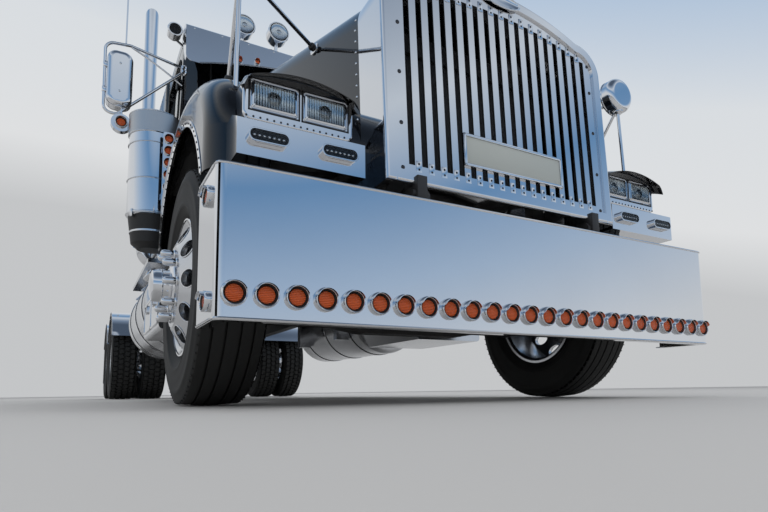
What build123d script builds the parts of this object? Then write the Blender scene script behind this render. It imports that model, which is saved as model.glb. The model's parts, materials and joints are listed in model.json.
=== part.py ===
from build123d import *
from math import cos, radians, sin, tan
import os

# Semi truck tractor unit with a long nose, a short sleeper and two exhaust stacks.
# Millimetres, +Z up, ground at Z = 0. The truck faces -Y and its left side is +X.
# The origin is on the ground, midway between the front lights and the frame's end.

# Overall layout, measured back from the bumper's face
front_axle_back = 930
wheelbase = 6100
axle_spread = 1320
rear_overhang = 1250
cowl_back = 2150
cab_back = 3300
sleeper_length = 900
cab_gap = 20

# Tyres and wheels
tyre_radius = 520
tyre_width = 280
tread_width = 236
bead_radius = 287
rim_width = 210
rim_lip_radius = 305
rim_barrel_radius = 286.7
rim_wall = 12
hand_hole_radius = 37
hand_hole_circle = 205
hand_holes = 10
front_tyre_x = 1050
dual_outer_x = 1080
dual_spacing = 344
spindle_radius = 45
bearing_clearance = 0.05

# Steering
kingpin_x = 860
kingpin_radius = 22
axle_eye_radius = 2.1 * kingpin_radius
axle_eye_height = 110
knuckle_ear = 28
steer_arm_length = 200
steer_arm_lowered = 6
tie_rod_radius = 17
ball_pin_radius = 13
ball_pin_length = 44
open_eye_clearance = 0.8

# Frame
rail_outer = 864
rail_height = 270
rail_flange = 88
rail_wall = 9
rail_top = 1010
rail_front_back = 280
seat_gap = 0.3

# Bumper and its lights
bumper_width = 2440
bumper_height = 485
bumper_bottom = 264
bumper_sheet = 6
bumper_return = 270
bumper_corner = 30
bumper_lip = 40
lamp_proud = 30
lamp_radius = 40
lamp_count = 25
lamp_pitch = 97
lamp_height = 81

# Grille
grille_half = 615
grille_bottom = 820
grille_shoulder = 900
grille_crown = 990
grille_corner = 150
grille_rake = 2.5
grille_back = 50
surround_depth = 200
surround_lip = 48
panel_recess = 10
panel_sheet = 8
slot_count = 18
slot_pitch = 58.6
slot_width = 27
slot_bottom = 78
slot_top_margin = 60
plate_width = 545
plate_height = 140
plate_bottom = 122
plate_shift = 17

# Hood and front fenders
hood_rear_half = 870
hood_rear_shoulder = 2030
hood_rear_crown = 2115
hood_rear_corner = 130
hood_sheet = 9
hood_skirt = 1100
hood_gap = 12
fender_outer = 1200
fender_sheet = 8
fender_front_back = 255
fender_bottom = 840
fender_nose_height = 1000
fender_shoulder = (396, 1240)
fender_crown = (1000, 1400)
fender_tail = (1630, 1180)
fender_rear_back = 1720
fender_round = 110
arch_radius = 620
arch_back = 965
arch_height = 600
hinge_back = 60
hinge_height = 785
hinge_pin_radius = 14

# Cab and sleeper
cab_half = 1000
cowl_half = 895
cab_bottom = 1150
floor_top = 1200
belt_height = 2050
cab_tumble = 20
cab_roof = 2830
cab_wall = 50
cowl_top = 2090
screen_foot_back = 2300
screen_head_back = 2440
screen_head = 2700
roof_ramp = 330
roof_corner = 110
door_front_back = 2500
door_rear_back = 3245
door_bottom = 1222
door_top = 2660
door_gap = 8
door_taper = 7
window_margin = 75
window_bottom = 2090
glass_sheet = 6
hinge_proud = 15
door_pin_radius = 6
door_barrel_radius = 12
sleeper_roof = 2860
sleeper_wall = 40
passage_half = 330
passage_bottom = 1260
passage_top = 2500

# Round things on the sides
cleaner_radius = 155
cleaner_x = 1175
cleaner_back = 2300
cleaner_bottom = 1220
cleaner_top = 1930
cleaner_bowl_drop = 215
light_bar_x = 1110
light_bar_back = 2100
light_bar_width = 66
light_bar_low = 1255
light_bar_high = 1760
stack_radius = 63.5
muffler_radius = 130
sleeve_radius = 92
stack_x = 1050
stack_back = 4370
stack_top = 4100
elbow_height = 1380
sleeve_bottom = 1530
muffler_bottom = 1650
muffler_top = 2900
tank_radius = 330
tank_x = 835
tank_height = 720
tank_front_back = 2680
tank_rear_back = 4150
box_front_back = 1790
box_rear_back = 2600
rear_fender_radius = tyre_radius + 80
rear_fender_sheet = 6

# Coupling
coupling_ahead = 80
plate_radius = 460
plate_top = 1220
plate_thickness = 20
coupling_pivot = 1120
kingpin_bore = 25.7
throat_angle = 22

# Worked out from the sizes above
frame_rear_back = front_axle_back + wheelbase + rear_overhang
overall_length = lamp_proud + frame_rear_back + 20
datum = lamp_proud - overall_length / 2
wheel_height = tyre_radius
tandem_back = front_axle_back + wheelbase
first_axle_back = tandem_back - axle_spread / 2
second_axle_back = tandem_back + axle_spread / 2
rail_bottom = rail_top - rail_height
rail_inner_web = rail_outer / 2 - rail_wall
sleeper_front_back = cab_back + cab_gap
sleeper_back = sleeper_front_back + sleeper_length
dual_inner_x = dual_outer_x - dual_spacing
dual_face_x = (dual_outer_x + dual_inner_x) / 2
bumper_top = bumper_bottom + bumper_height

sides = (("left", 1), ("right", -1))


def back(distance):
    # Y of a point that lies this far behind the bumper's face
    return datum + distance


def facing(distance):
    # Upright plane across the truck, drawn as (x, z). Positive extrusion runs forward.
    return Plane.XZ.offset(-back(distance))


def beside(x):
    # Upright plane along the truck, drawn as (y, z). Positive extrusion runs to the left.
    return Plane.YZ.offset(x)


def rod(start, end, radius):
    # Straight round bar between two points
    first, last = Vector(*start), Vector(*end)
    with BuildPart() as bar:
        with BuildSketch(Plane(origin=first, z_dir=last - first)):
            Circle(radius)
        extrude(amount=(last - first).length)
    return bar.part


def block(low, high):
    # Rectangular block between two corners
    spans = [b - a for a, b in zip(low, high)]
    with BuildPart() as solid:
        with Locations(tuple((a + b) / 2 for a, b in zip(low, high))):
            Box(*spans)
    return solid.part


def save(piece, name):
    piece.label = name
    export_step(piece, f"parts/{name}.step")


os.makedirs("parts", exist_ok=True)

# Frame: two channel rails, crossmembers, bumper arms, hood pivot and cab feet
crossmembers = (
    # distance back, length along the truck, drop below the rail's top
    (rail_front_back + 60, 60, 20),
    (3050, 90, 20),
    (4700, 90, 20),
    (5700, 90, 20),
    (tandem_back, 160, 20),
    (frame_rear_back - 80, 79, 20),
)
cab_feet = (2420, 3180, 3420, 4080)
foot_height = cab_bottom - rail_top - seat_gap
rail_length = frame_rear_back - rail_front_back
arm_reach = rail_front_back + 260
with BuildPart() as chassis_frame:
    with BuildSketch(facing(rail_front_back)):
        with Locations((rail_outer / 2, rail_bottom + rail_height / 2)):
            Rectangle(rail_flange, rail_height, align=(Align.MAX, Align.CENTER))
        with Locations((rail_inner_web, rail_bottom + rail_height / 2)):
            Rectangle(
                rail_flange, rail_height - 2 * rail_wall, align=(Align.MAX, Align.CENTER), mode=Mode.SUBTRACT
            )
    extrude(amount=-rail_length)
    mirror(about=Plane.YZ)
    for distance, length, drop in crossmembers:
        with Locations((0, back(distance) + length / 2, rail_top - drop)):
            Box(
                2 * rail_inner_web + 2,
                length,
                rail_height / 2 - drop / 2,
                align=(Align.CENTER, Align.CENTER, Align.MAX),
            )
    # Bumper arms bolted to the outside of the rails
    with BuildSketch(beside(rail_outer / 2 - 1)):
        with BuildLine():
            Polyline(
                (back(arm_reach), rail_bottom + 30),
                (back(arm_reach), rail_bottom),
                (back(rail_front_back), rail_bottom - 60),
                (back(120), bumper_bottom + 120),
                (back(bumper_sheet + seat_gap), bumper_bottom + 120),
                (back(bumper_sheet + seat_gap), bumper_top - 60),
                (back(120), bumper_top - 20),
                (back(rail_front_back), rail_bottom + 40),
                close=True,
            )
        make_face()
    extrude(amount=15)
    # Hood pivot ears on the arms' front, with the pivot pin through them
    with BuildSketch(beside(rail_outer / 2 - 1)):
        with BuildLine():
            Polyline(
                (back(hinge_back - hinge_pin_radius), hinge_height),
                (back(hinge_back - hinge_pin_radius), bumper_top - 80),
                (back(hinge_back + 70), bumper_top - 80),
                (back(hinge_back + 30), hinge_height + 6),
                (back(hinge_back), hinge_height + hinge_pin_radius + 6),
                close=True,
            )
        make_face()
    extrude(amount=15)
    with Locations((rail_outer / 2 + 14, back(hinge_back), hinge_height)):
        Cylinder(
            hinge_pin_radius, 60, rotation=(0, 90, 0), align=(Align.CENTER, Align.CENTER, Align.MIN)
        )
    # Rubber-topped feet for the cab and the sleeper
    for distance in cab_feet:
        with Locations((rail_outer / 2 - rail_flange / 2, back(distance), rail_top)):
            Box(70, 90, foot_height, align=(Align.CENTER, Align.CENTER, Align.MIN))
    mirror(about=Plane.YZ)
save(chassis_frame.part, "chassis_frame")

# Bumper: one polished sheet with side returns, and a lip round the top and bottom
with BuildPart() as bumper:
    with BuildSketch(Plane.XY.offset(bumper_bottom)):
        with Locations((0, back(0))):
            Rectangle(bumper_width, bumper_return, align=(Align.CENTER, Align.MIN))
    extrude(amount=bumper_height)
    front_corners = bumper.edges().filter_by(Axis.Z).group_by(Axis.Y)[0]
    fillet(front_corners, bumper_corner)
    front_rim = bumper.faces().filter_by(Axis.Z).edges().filter_by(Axis.X).group_by(Axis.Y)[0]
    fillet(front_rim, bumper_sheet)
    with BuildSketch(Plane.XY.offset(bumper_bottom + bumper_sheet)):
        with Locations((0, back(bumper_sheet))):
            Rectangle(
                bumper_width - 2 * bumper_sheet, bumper_return, align=(Align.CENTER, Align.MIN)
            )
    extrude(amount=bumper_height - 2 * bumper_sheet, mode=Mode.SUBTRACT)
    with BuildSketch(Plane.XY.offset(bumper_bottom)):
        with Locations((0, back(bumper_lip))):
            Rectangle(bumper_width - 2 * bumper_lip, bumper_return, align=(Align.CENTER, Align.MIN))
    extrude(amount=bumper_height, mode=Mode.SUBTRACT)
save(bumper.part, "bumper")

# Bumper lights: a row of domed lamps, and two markers on each side return
lamp_z = bumper_bottom + lamp_height
marker_heights = (bumper_bottom + 66, bumper_top - 90)
marker_back = 95
with BuildPart() as lamp:
    with BuildSketch(Plane.XY):
        with BuildLine():
            Polyline(
                (0, lamp_proud), (0, 0), (lamp_radius, 0), (lamp_radius, 8), (lamp_radius - 6, 18)
            )
            TangentArc((0, lamp_proud), (lamp_radius - 6, 18), tangent=(1, 0))
        make_face()
    revolve(axis=Axis.Y)
with BuildPart() as bumper_lights:
    for index in range(lamp_count):
        x = (index - (lamp_count - 1) / 2) * lamp_pitch
        with Locations(Location((x, back(0), lamp_z), (0, 0, 180))):
            add(lamp.part)
    for height in marker_heights:
        for sign in (-1, 1):
            spot = (sign * bumper_width / 2, back(marker_back), height)
            with Locations(Location(spot, (0, 0, -90 * sign))):
                add(lamp.part)
save(bumper_lights.part, "bumper_lights")

# Engine and gearbox: one plain block on four feet that rest on the rails
engine_front_back = 560
engine_rear_back = 1800
gearbox_rear_back = 2760
engine_half = 300
engine_bottom = 640
engine_top = 1560
gearbox_half = 210
gearbox_top = 1060
with BuildPart() as engine_block:
    add(
        block(
            (-engine_half, back(engine_front_back), engine_bottom),
            (engine_half, back(engine_rear_back), engine_top),
        )
    )
    add(
        block(
            (-gearbox_half, back(engine_rear_back - 1), engine_bottom),
            (gearbox_half, back(gearbox_rear_back), gearbox_top),
        )
    )
    for distance in (engine_front_back + 80, engine_rear_back - 80):
        add(
            block(
                (-rail_outer / 2 + 12, back(distance - 60), rail_top + seat_gap),
                (rail_outer / 2 - 12, back(distance + 60), rail_top + 40),
            )
        )
save(engine_block.part, "engine_block")

# Radiator: core between two tanks, standing on the rails
radiator_back = 330
radiator_half = 450
radiator_bottom = rail_top + seat_gap
radiator_top = 1640
with BuildPart() as radiator:
    add(
        block(
            (-radiator_half + 15, back(radiator_back + 20), radiator_bottom + 60),
            (radiator_half - 15, back(radiator_back + 90), radiator_top - 60),
        )
    )
    for low in (radiator_bottom, radiator_top - 90):
        add(
            block(
                (-radiator_half, back(radiator_back), low),
                (radiator_half, back(radiator_back + 110), low + 90),
            )
        )
save(radiator.part, "radiator")

# Drive shafts from the gearbox to the two drive axles
shaft_radius = 55
pinion_reach = 330
pinion_rise = 40
pinion_face_back = first_axle_back - pinion_reach - seat_gap
shaft_height = 800
bearing_back = 4620
bearing_length = 90
hanger_width = 120
centre_bearing = (0, back(bearing_back), shaft_height)
pinion_end = (0, back(pinion_face_back), wheel_height + pinion_rise)
overrun = 1.01
with BuildPart() as drive_shafts:
    # The sloping shaft is made a little too long, then cut off square at the pinion's face
    add(rod(centre_bearing, [a + overrun * (b - a) for a, b in zip(centre_bearing, pinion_end)], shaft_radius))
    split(bisect_by=facing(pinion_face_back), keep=Keep.TOP)
    add(rod((0, back(gearbox_rear_back + seat_gap), shaft_height), centre_bearing, shaft_radius))
    with Locations(centre_bearing):
        Cylinder(1.5 * shaft_radius, bearing_length, rotation=(90, 0, 0))
    # Hanger that holds the centre bearing from its crossmember
    hanger_top = rail_top - rail_height / 2 - 10.3
    add(
        block(
            (-hanger_width / 2, back(bearing_back - 20), shaft_height - 10),
            (hanger_width / 2, back(bearing_back + 20), hanger_top),
        )
    )
    add(
        block(
            (-hanger_width / 2, back(bearing_back - 20), hanger_top - 20),
            (hanger_width / 2, back(bearing_back + 125), hanger_top),
        )
    )
save(drive_shafts.part, "drive_shafts")

# Front axle: forged beam that drops between the spring pads, with an eye at each end
pad_x = 388
pad_top = 470
beam_height = 90
beam_depth = 100
with BuildPart() as front_axle:
    with BuildSketch(facing(front_axle_back - beam_depth / 2)) as beam:
        with BuildLine():
            Polyline(
                (0, pad_top - 30 - beam_height),
                (pad_x - 90, pad_top - 30 - beam_height),
                (pad_x + 90, pad_top - beam_height),
                (kingpin_x - 30, wheel_height - beam_height / 2),
                (kingpin_x, wheel_height - beam_height / 2),
                (kingpin_x, wheel_height + beam_height / 2),
                (kingpin_x - 30, wheel_height + beam_height / 2),
                (pad_x + 90, pad_top),
                (pad_x - 90, pad_top),
                (pad_x - 160, pad_top - 30),
                (0, pad_top - 30),
                close=True,
            )
        make_face()
    extrude(amount=-beam_depth)
    with BuildSketch(facing(front_axle_back - beam_depth / 2)):
        add(beam.sketch)
        offset(amount=-18, mode=Mode.REPLACE)
    extrude(amount=-0.32 * beam_depth, mode=Mode.SUBTRACT)
    with BuildSketch(facing(front_axle_back + beam_depth / 2)):
        add(beam.sketch)
        offset(amount=-18, mode=Mode.REPLACE)
    extrude(amount=0.32 * beam_depth, mode=Mode.SUBTRACT)
    with Locations((kingpin_x, back(front_axle_back), wheel_height)):
        Cylinder(axle_eye_radius, axle_eye_height)
        Cylinder(kingpin_radius + bearing_clearance, axle_eye_height, mode=Mode.SUBTRACT)
    mirror(about=Plane.YZ)
save(front_axle.part, "front_axle")

# Springs: a leaf pack each side in front, a trailing arm and air spring at each drive axle end
spring_half = 600
spring_rise = 165
spring_width = 76
spring_stack = 66
arm_ahead = 520
arm_behind = 400
arm_drop = 100
air_spring_radius = 120
axle_tube_radius = 68
with BuildPart() as suspension_springs:
    with BuildSketch(beside(pad_x - spring_width / 2)):
        foot = pad_top + seat_gap
        middle = back(front_axle_back)
        with BuildLine():
            Line((middle - 80, foot), (middle + 80, foot))
            ThreePointArc(
                (middle + 80, foot),
                (middle + 0.55 * spring_half, foot + 0.2 * spring_rise),
                (middle + spring_half, foot + spring_rise),
            )
            Line((middle + spring_half, foot + spring_rise), (middle + spring_half, foot + spring_rise + 14))
            ThreePointArc(
                (middle + spring_half, foot + spring_rise + 14),
                (middle, foot + spring_stack),
                (middle - spring_half, foot + spring_rise + 14),
            )
            Line((middle - spring_half, foot + spring_rise + 14), (middle - spring_half, foot + spring_rise))
            ThreePointArc(
                (middle - spring_half, foot + spring_rise),
                (middle - 0.55 * spring_half, foot + 0.2 * spring_rise),
                (middle - 80, foot),
            )
        make_face()
    extrude(amount=spring_width)
    # Spring eyes, each in a hanger under the rail
    for end in (-1, 1):
        eye_y = middle + end * spring_half
        add(
            rod(
                (pad_x - spring_width / 2, eye_y, foot + spring_rise + 12),
                (pad_x + spring_width / 2, eye_y, foot + spring_rise + 12),
                26,
            )
        )
        add(
            block(
                (pad_x - spring_width / 2, eye_y - 26, foot + spring_rise + 12),
                (pad_x + spring_width / 2, eye_y + 26, rail_bottom - seat_gap),
            )
        )
    # Drive axle trailing arms, hung from the rails, with an air spring behind each axle
    for distance in (first_axle_back, second_axle_back):
        arm_z = wheel_height - arm_drop
        with BuildSketch(beside(pad_x - 40)):
            with BuildLine():
                Polyline(
                    (back(distance - arm_ahead - 45), rail_bottom - seat_gap),
                    (back(distance - arm_ahead - 45), arm_z - 10),
                    (back(distance - arm_ahead + 20), arm_z - 40),
                    (back(distance + arm_behind + 90), arm_z - 40),
                    (back(distance + arm_behind + 90), arm_z),
                    (back(distance + 90), arm_z),
                    (back(distance + 90), wheel_height - axle_tube_radius - seat_gap),
                    (back(distance - 90), wheel_height - axle_tube_radius - seat_gap),
                    (back(distance - 90), arm_z),
                    (back(distance - arm_ahead + 45), arm_z + 20),
                    (back(distance - arm_ahead + 45), rail_bottom - seat_gap),
                    close=True,
                )
            make_face()
        extrude(amount=80)
        with Locations((pad_x, back(distance + arm_behind), arm_z)):
            Cylinder(
                air_spring_radius, 60, align=(Align.CENTER, Align.CENTER, Align.MIN)
            )
        with Locations((pad_x, back(distance + arm_behind), arm_z + 60)):
            Cylinder(
                0.85 * air_spring_radius,
                rail_bottom - seat_gap - arm_z - 60,
                align=(Align.CENTER, Align.CENTER, Align.MIN),
            )
    mirror(about=Plane.YZ)
save(suspension_springs.part, "suspension_springs")

# Drive axles: tube, round differential housing with a pinion nose, and a spindle at each end
housing_radius = 215
spindle_start = dual_inner_x - 60
spindle_end = dual_face_x + 60
with BuildPart() as drive_axles:
    for distance in (first_axle_back, second_axle_back):
        with BuildSketch(Plane(origin=(0, back(distance), wheel_height))):
            with BuildLine():
                Polyline(
                    (0, 0),
                    (0, housing_radius),
                    (60, housing_radius),
                    (170, 1.5 * axle_tube_radius),
                    (320, axle_tube_radius),
                    (spindle_start, axle_tube_radius),
                    (spindle_start, spindle_radius),
                    (spindle_end, spindle_radius),
                    (spindle_end, 0),
                    close=True,
                )
            make_face()
        revolve(axis=Axis((0, back(distance), wheel_height), (1, 0, 0)))
    mirror(about=Plane.YZ)
    pinion_z = wheel_height + pinion_rise
    for distance in (first_axle_back, second_axle_back):
        add(rod((0, back(distance - pinion_reach), pinion_z), (0, back(distance), pinion_z), 90))
    # Short shaft that links the two axles
    link_end = second_axle_back - pinion_reach + 5
    add(rod((0, back(first_axle_back), pinion_z), (0, back(link_end), pinion_z), 45))
save(drive_axles.part, "drive_axles")


def cab_form(inset):
    # Cab body as a solid, with every face moved inward by inset
    with BuildPart() as form:
        with BuildSketch(Plane.YZ):
            with BuildLine():
                Polyline(
                    (back(cowl_back), cab_bottom),
                    (back(cab_back), cab_bottom),
                    (back(cab_back), cab_roof),
                    (back(screen_head_back + roof_ramp), cab_roof),
                    (back(screen_head_back), screen_head),
                    (back(screen_foot_back), cowl_top),
                    (back(cowl_back), cowl_top - 20),
                    close=True,
                )
            make_face()
            offset(amount=-inset, kind=Kind.INTERSECTION)
        extrude(amount=2 * cab_half, both=True)
        with BuildSketch(facing(cowl_back)):
            with BuildLine():
                Polyline(
                    (-cab_half, cab_bottom),
                    (cab_half, cab_bottom),
                    (cab_half, belt_height),
                    (cab_half - cab_tumble, cab_roof),
                    (cab_tumble - cab_half, cab_roof),
                    (-cab_half, belt_height),
                    close=True,
                )
            face = make_face()
            fillet(face.vertices().group_by(Axis.Z)[-1], roof_corner)
            offset(amount=-inset, kind=Kind.INTERSECTION)
        extrude(amount=-(cab_back - cowl_back), mode=Mode.INTERSECT)
        with BuildSketch(Plane.XY.offset(cab_bottom)):
            with BuildLine():
                Polyline(
                    (-cowl_half, back(cowl_back)),
                    (cowl_half, back(cowl_back)),
                    (cowl_half + 8, back(screen_foot_back + 70)),
                    (cab_half, back(door_front_back - 30)),
                    (cab_half, back(cab_back)),
                    (-cab_half, back(cab_back)),
                    (-cab_half, back(door_front_back - 30)),
                    (-cowl_half - 8, back(screen_foot_back + 70)),
                    close=True,
                )
            make_face()
            offset(amount=-inset, kind=Kind.INTERSECTION)
        extrude(amount=cab_roof, mode=Mode.INTERSECT)
    return form.part


def side_prism(outline, clearance=0.0, depth=300, lean=0.0):
    # Both sides' prism of an outline drawn as (y, z), reaching in from outside the cab.
    # A lean makes it shrink inward, as a door's edges do.
    with BuildPart() as prism:
        with BuildSketch(beside(cab_half)) as shape:
            with BuildLine():
                Polyline(*outline, close=True)
            made = make_face()
            fillet(made.vertices(), door_corner)
            if clearance:
                offset(amount=-clearance)
        extrude(amount=-depth, taper=lean)
        extrude(shape.sketch, amount=60)
        mirror(about=Plane.YZ)
    return prism.part


def screen_prism(clearance=0.0):
    # Two windscreen openings beside a centre post, cut straight back through the raked front
    with BuildPart() as prism:
        with BuildSketch(facing(cowl_back)) as shape:
            with BuildLine():
                Polyline(*screen_outline, close=True)
            made = make_face()
            fillet(made.vertices(), 45)
            if clearance:
                offset(amount=-clearance)
        extrude(amount=-(door_front_back - cowl_back))
        mirror(about=Plane.YZ)
    return prism.part


door_corner = 60
door_outline = (
    (back(door_front_back), door_bottom),
    (back(door_rear_back), door_bottom),
    (back(door_rear_back), door_top),
    (back(door_front_back), door_top),
)
window_outline = (
    (back(door_front_back + window_margin), window_bottom),
    (back(door_rear_back - window_margin), window_bottom),
    (back(door_rear_back - window_margin), door_top - window_margin),
    (back(door_front_back + window_margin), door_top - window_margin),
)
screen_outline = (
    (25, cowl_top + 75),
    (cowl_half - 85, cowl_top + 75),
    (cowl_half - 105, screen_head - 45),
    (25, screen_head - 45),
)
hinge_x = cab_half + hinge_proud
hinge_line = back(door_front_back)
hinge_heights = (1480, 2330)
barrel = 45

cab_solid = cab_form(0)
cab_hollow = cab_form(cab_wall)
with BuildPart() as cab_skin:
    add(cab_solid)
    add(cab_hollow, mode=Mode.SUBTRACT)

# Cab shell: floor, walls and roof round an open inside, with door, screen and passage openings
with BuildPart() as cab_shell:
    add(cab_skin.part)
    add(side_prism(door_outline), mode=Mode.SUBTRACT)
    add(screen_prism(), mode=Mode.SUBTRACT)
    add(
        block(
            (-passage_half, back(cab_back - 2 * cab_wall), passage_bottom),
            (passage_half, back(cab_back + 10), passage_top),
        ),
        mode=Mode.SUBTRACT,
    )
    for _, sign in sides:
        for height in hinge_heights:
            with Locations((sign * hinge_x, hinge_line, height)):
                Cylinder(door_barrel_radius, barrel, align=(Align.CENTER, Align.CENTER, Align.MAX))
                Cylinder(door_pin_radius, barrel, align=(Align.CENTER, Align.CENTER, Align.MIN))
            low_x, high_x = sorted((sign * (cab_half - 12), sign * (hinge_x - 6)))
            add(block((low_x, hinge_line - 45, height - barrel), (high_x, hinge_line - 4, height)))
save(cab_shell.part, "cab_shell")

# Windscreen: two panes held in the middle of the raked front wall
with BuildPart() as windscreen:
    add(cab_form(20))
    add(cab_form(20 + glass_sheet), mode=Mode.SUBTRACT)
    add(screen_prism(seat_gap), mode=Mode.INTERSECT)
save(windscreen.part, "windscreen")

# Doors, cut from the same wall as the cab, each with its window and glass
for side, sign in sides:
    with BuildPart() as half_space:
        add(
            block(
                (min(0, sign * 2 * cab_half), back(cowl_back), cab_bottom),
                (max(0, sign * 2 * cab_half), back(cab_back), cab_roof),
            )
        )
    with BuildPart() as door:
        add(cab_skin.part)
        add(half_space.part, mode=Mode.INTERSECT)
        add(side_prism(door_outline, clearance=door_gap, lean=door_taper), mode=Mode.INTERSECT)
        add(side_prism(window_outline), mode=Mode.SUBTRACT)
        for height in hinge_heights:
            low_x, high_x = sorted((sign * (cab_half - 12), sign * (hinge_x - 2)))
            add(
                block(
                    (low_x, hinge_line, height + seat_gap),
                    (high_x, hinge_line + 45, height + barrel),
                )
            )
            with Locations((sign * hinge_x, hinge_line, height + seat_gap)):
                Cylinder(
                    door_barrel_radius, barrel - seat_gap, align=(Align.CENTER, Align.CENTER, Align.MIN)
                )
                Cylinder(
                    door_pin_radius + bearing_clearance,
                    barrel,
                    align=(Align.CENTER, Align.CENTER, Align.MIN),
                    mode=Mode.SUBTRACT,
                )
    save(door.part, f"door_{side}")
    with BuildPart() as door_glass:
        add(cab_form(20))
        add(cab_form(20 + glass_sheet), mode=Mode.SUBTRACT)
        add(half_space.part, mode=Mode.INTERSECT)
        add(side_prism(window_outline, clearance=seat_gap), mode=Mode.INTERSECT)
    save(door_glass.part, f"door_glass_{side}")

# Sleeper: a short hollow box behind the cab, open to it through the passage
with BuildPart() as sleeper_shell:
    with BuildSketch(facing(sleeper_front_back)):
        with Locations((0, cab_bottom)):
            Rectangle(2 * cab_half, sleeper_roof - cab_bottom, align=(Align.CENTER, Align.MIN))
    extrude(amount=-sleeper_length)
    fillet(sleeper_shell.edges().filter_by(Axis.Y).group_by(Axis.Z)[-1], roof_corner)
    fillet(sleeper_shell.edges().filter_by(Axis.Z), 40)
    with BuildSketch(facing(sleeper_front_back + sleeper_wall)):
        with Locations((0, cab_bottom + cab_wall)):
            inner = Rectangle(
                2 * (cab_half - sleeper_wall),
                sleeper_roof - cab_bottom - cab_wall - sleeper_wall,
                align=(Align.CENTER, Align.MIN),
            )
        fillet(inner.vertices(), roof_corner - sleeper_wall)
    extrude(amount=-(sleeper_length - 2 * sleeper_wall), mode=Mode.SUBTRACT)
    add(
        block(
            (-passage_half, back(sleeper_front_back - 10), passage_bottom),
            (passage_half, back(sleeper_front_back + 2 * sleeper_wall), passage_top),
        ),
        mode=Mode.SUBTRACT,
    )
save(sleeper_shell.part, "sleeper_shell")

# Sun visor: bent sheet on the roof's front slope, closed at both ends
visor_half = 1008
visor_sheet = 5
visor_low = 2358
visor_arch = 145
visor_arch_half = 925
visor_corner = 45
roof_slope = (cab_roof - screen_head) / roof_ramp
flange = 70
lift = (seat_gap + visor_sheet / 2) * (1 + roof_slope**2) ** 0.5
brow = (
    (back(screen_head_back), screen_head + lift),
    (back(screen_head_back - 175), screen_head - 32),
    (back(screen_head_back - 212), screen_head - 60),
    (back(screen_head_back - 246), visor_low),
)
with BuildPart() as sun_visor:
    with BuildSketch(Plane.YZ):
        with BuildLine():
            Polyline(
                (back(screen_head_back + flange), screen_head + flange * roof_slope + lift), *brow
            )
        trace(line_width=visor_sheet)
    extrude(amount=visor_half, both=True)
    with BuildSketch(beside(visor_half - visor_sheet)):
        with BuildLine():
            Polyline(
                (back(screen_head_back - 12), screen_head - 1),
                *brow[1:],
                (back(screen_head_back - 205), visor_low),
                close=True,
            )
        make_face()
    extrude(amount=visor_sheet)
    mirror(about=Plane.YZ)
    # The lower edge is arched up in the middle, and its outer corners are rounded
    with BuildSketch(facing(cowl_back)):
        with BuildLine():
            Line((-visor_arch_half, visor_low - visor_sheet), (visor_arch_half, visor_low - visor_sheet))
            ThreePointArc(
                (-visor_arch_half, visor_low - visor_sheet),
                (0, visor_low + visor_arch),
                (visor_arch_half, visor_low - visor_sheet),
            )
        make_face()
    extrude(amount=-(screen_head_back - cowl_back), mode=Mode.SUBTRACT)
    with BuildSketch(facing(cowl_back)):
        with Locations((0, visor_low)):
            Rectangle(2 * visor_half + 40, 2 * visor_corner, align=(Align.CENTER, Align.CENTER))
        with Locations((0, visor_low)):
            RectangleRounded(
                2 * visor_half, 4 * visor_corner, visor_corner, align=(Align.CENTER, Align.MIN), mode=Mode.SUBTRACT
            )
    extrude(amount=-(screen_head_back - cowl_back), mode=Mode.SUBTRACT)
save(sun_visor.part, "sun_visor")

# Seats: two, each a pedestal, cushion and back as one plain closed form
seat_x = 480
seat_width = 500
seat_back = 2800
seat_underside = 280
seat_profile = (
    # distance behind the cushion's front, height above the floor
    (60, seat_gap),
    (360, seat_gap),
    (360, seat_underside),
    (440, 960),
    (340, 980),
    (280, 460),
    (0, 450),
    (0, seat_underside + 20),
    (60, seat_underside),
)
with BuildPart() as seats:
    with BuildSketch(beside(seat_x - seat_width / 2)):
        with BuildLine():
            Polyline(*((back(seat_back + d), floor_top + h) for d, h in seat_profile), close=True)
        profile = make_face()
        fillet(profile.vertices().filter_by(lambda v: v.Z > floor_top + seat_underside + 10), 35)
    extrude(amount=seat_width)
    mirror(about=Plane.YZ)
save(seats.part, "seats")

# Dashboard with the steering column
wheel_centre = (seat_x, back(2700), 1990)
column_tilt = 30
column_dir = (0, sin(radians(column_tilt)), cos(radians(column_tilt)))
column_radius = 12
column_tube = 28
column_shown = 40
dash_back = screen_foot_back + 90
dash_half = cowl_half - cab_wall - 15
dash_front = cowl_back + cab_wall + seat_gap
dash_profile = (
    # distance back, height
    (dash_front, 1980),
    (dash_front, 1700),
    (dash_back + 60, 1640),
    (dash_back + 170, 1800),
    (dash_back + 130, 1990),
    (dash_back, 2020),
)


def along_column(distance):
    return tuple(c + distance * d for c, d in zip(wheel_centre, column_dir))


with BuildPart() as dashboard:
    with BuildSketch(beside(-dash_half)):
        with BuildLine():
            Polyline(*((back(d), h) for d, h in dash_profile), close=True)
        make_face()
    extrude(amount=2 * dash_half)
    add(rod(along_column(-420), along_column(-column_shown), column_tube))
    add(rod(along_column(-column_shown - 1), along_column(0), column_radius))
save(dashboard.part, "dashboard")

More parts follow.
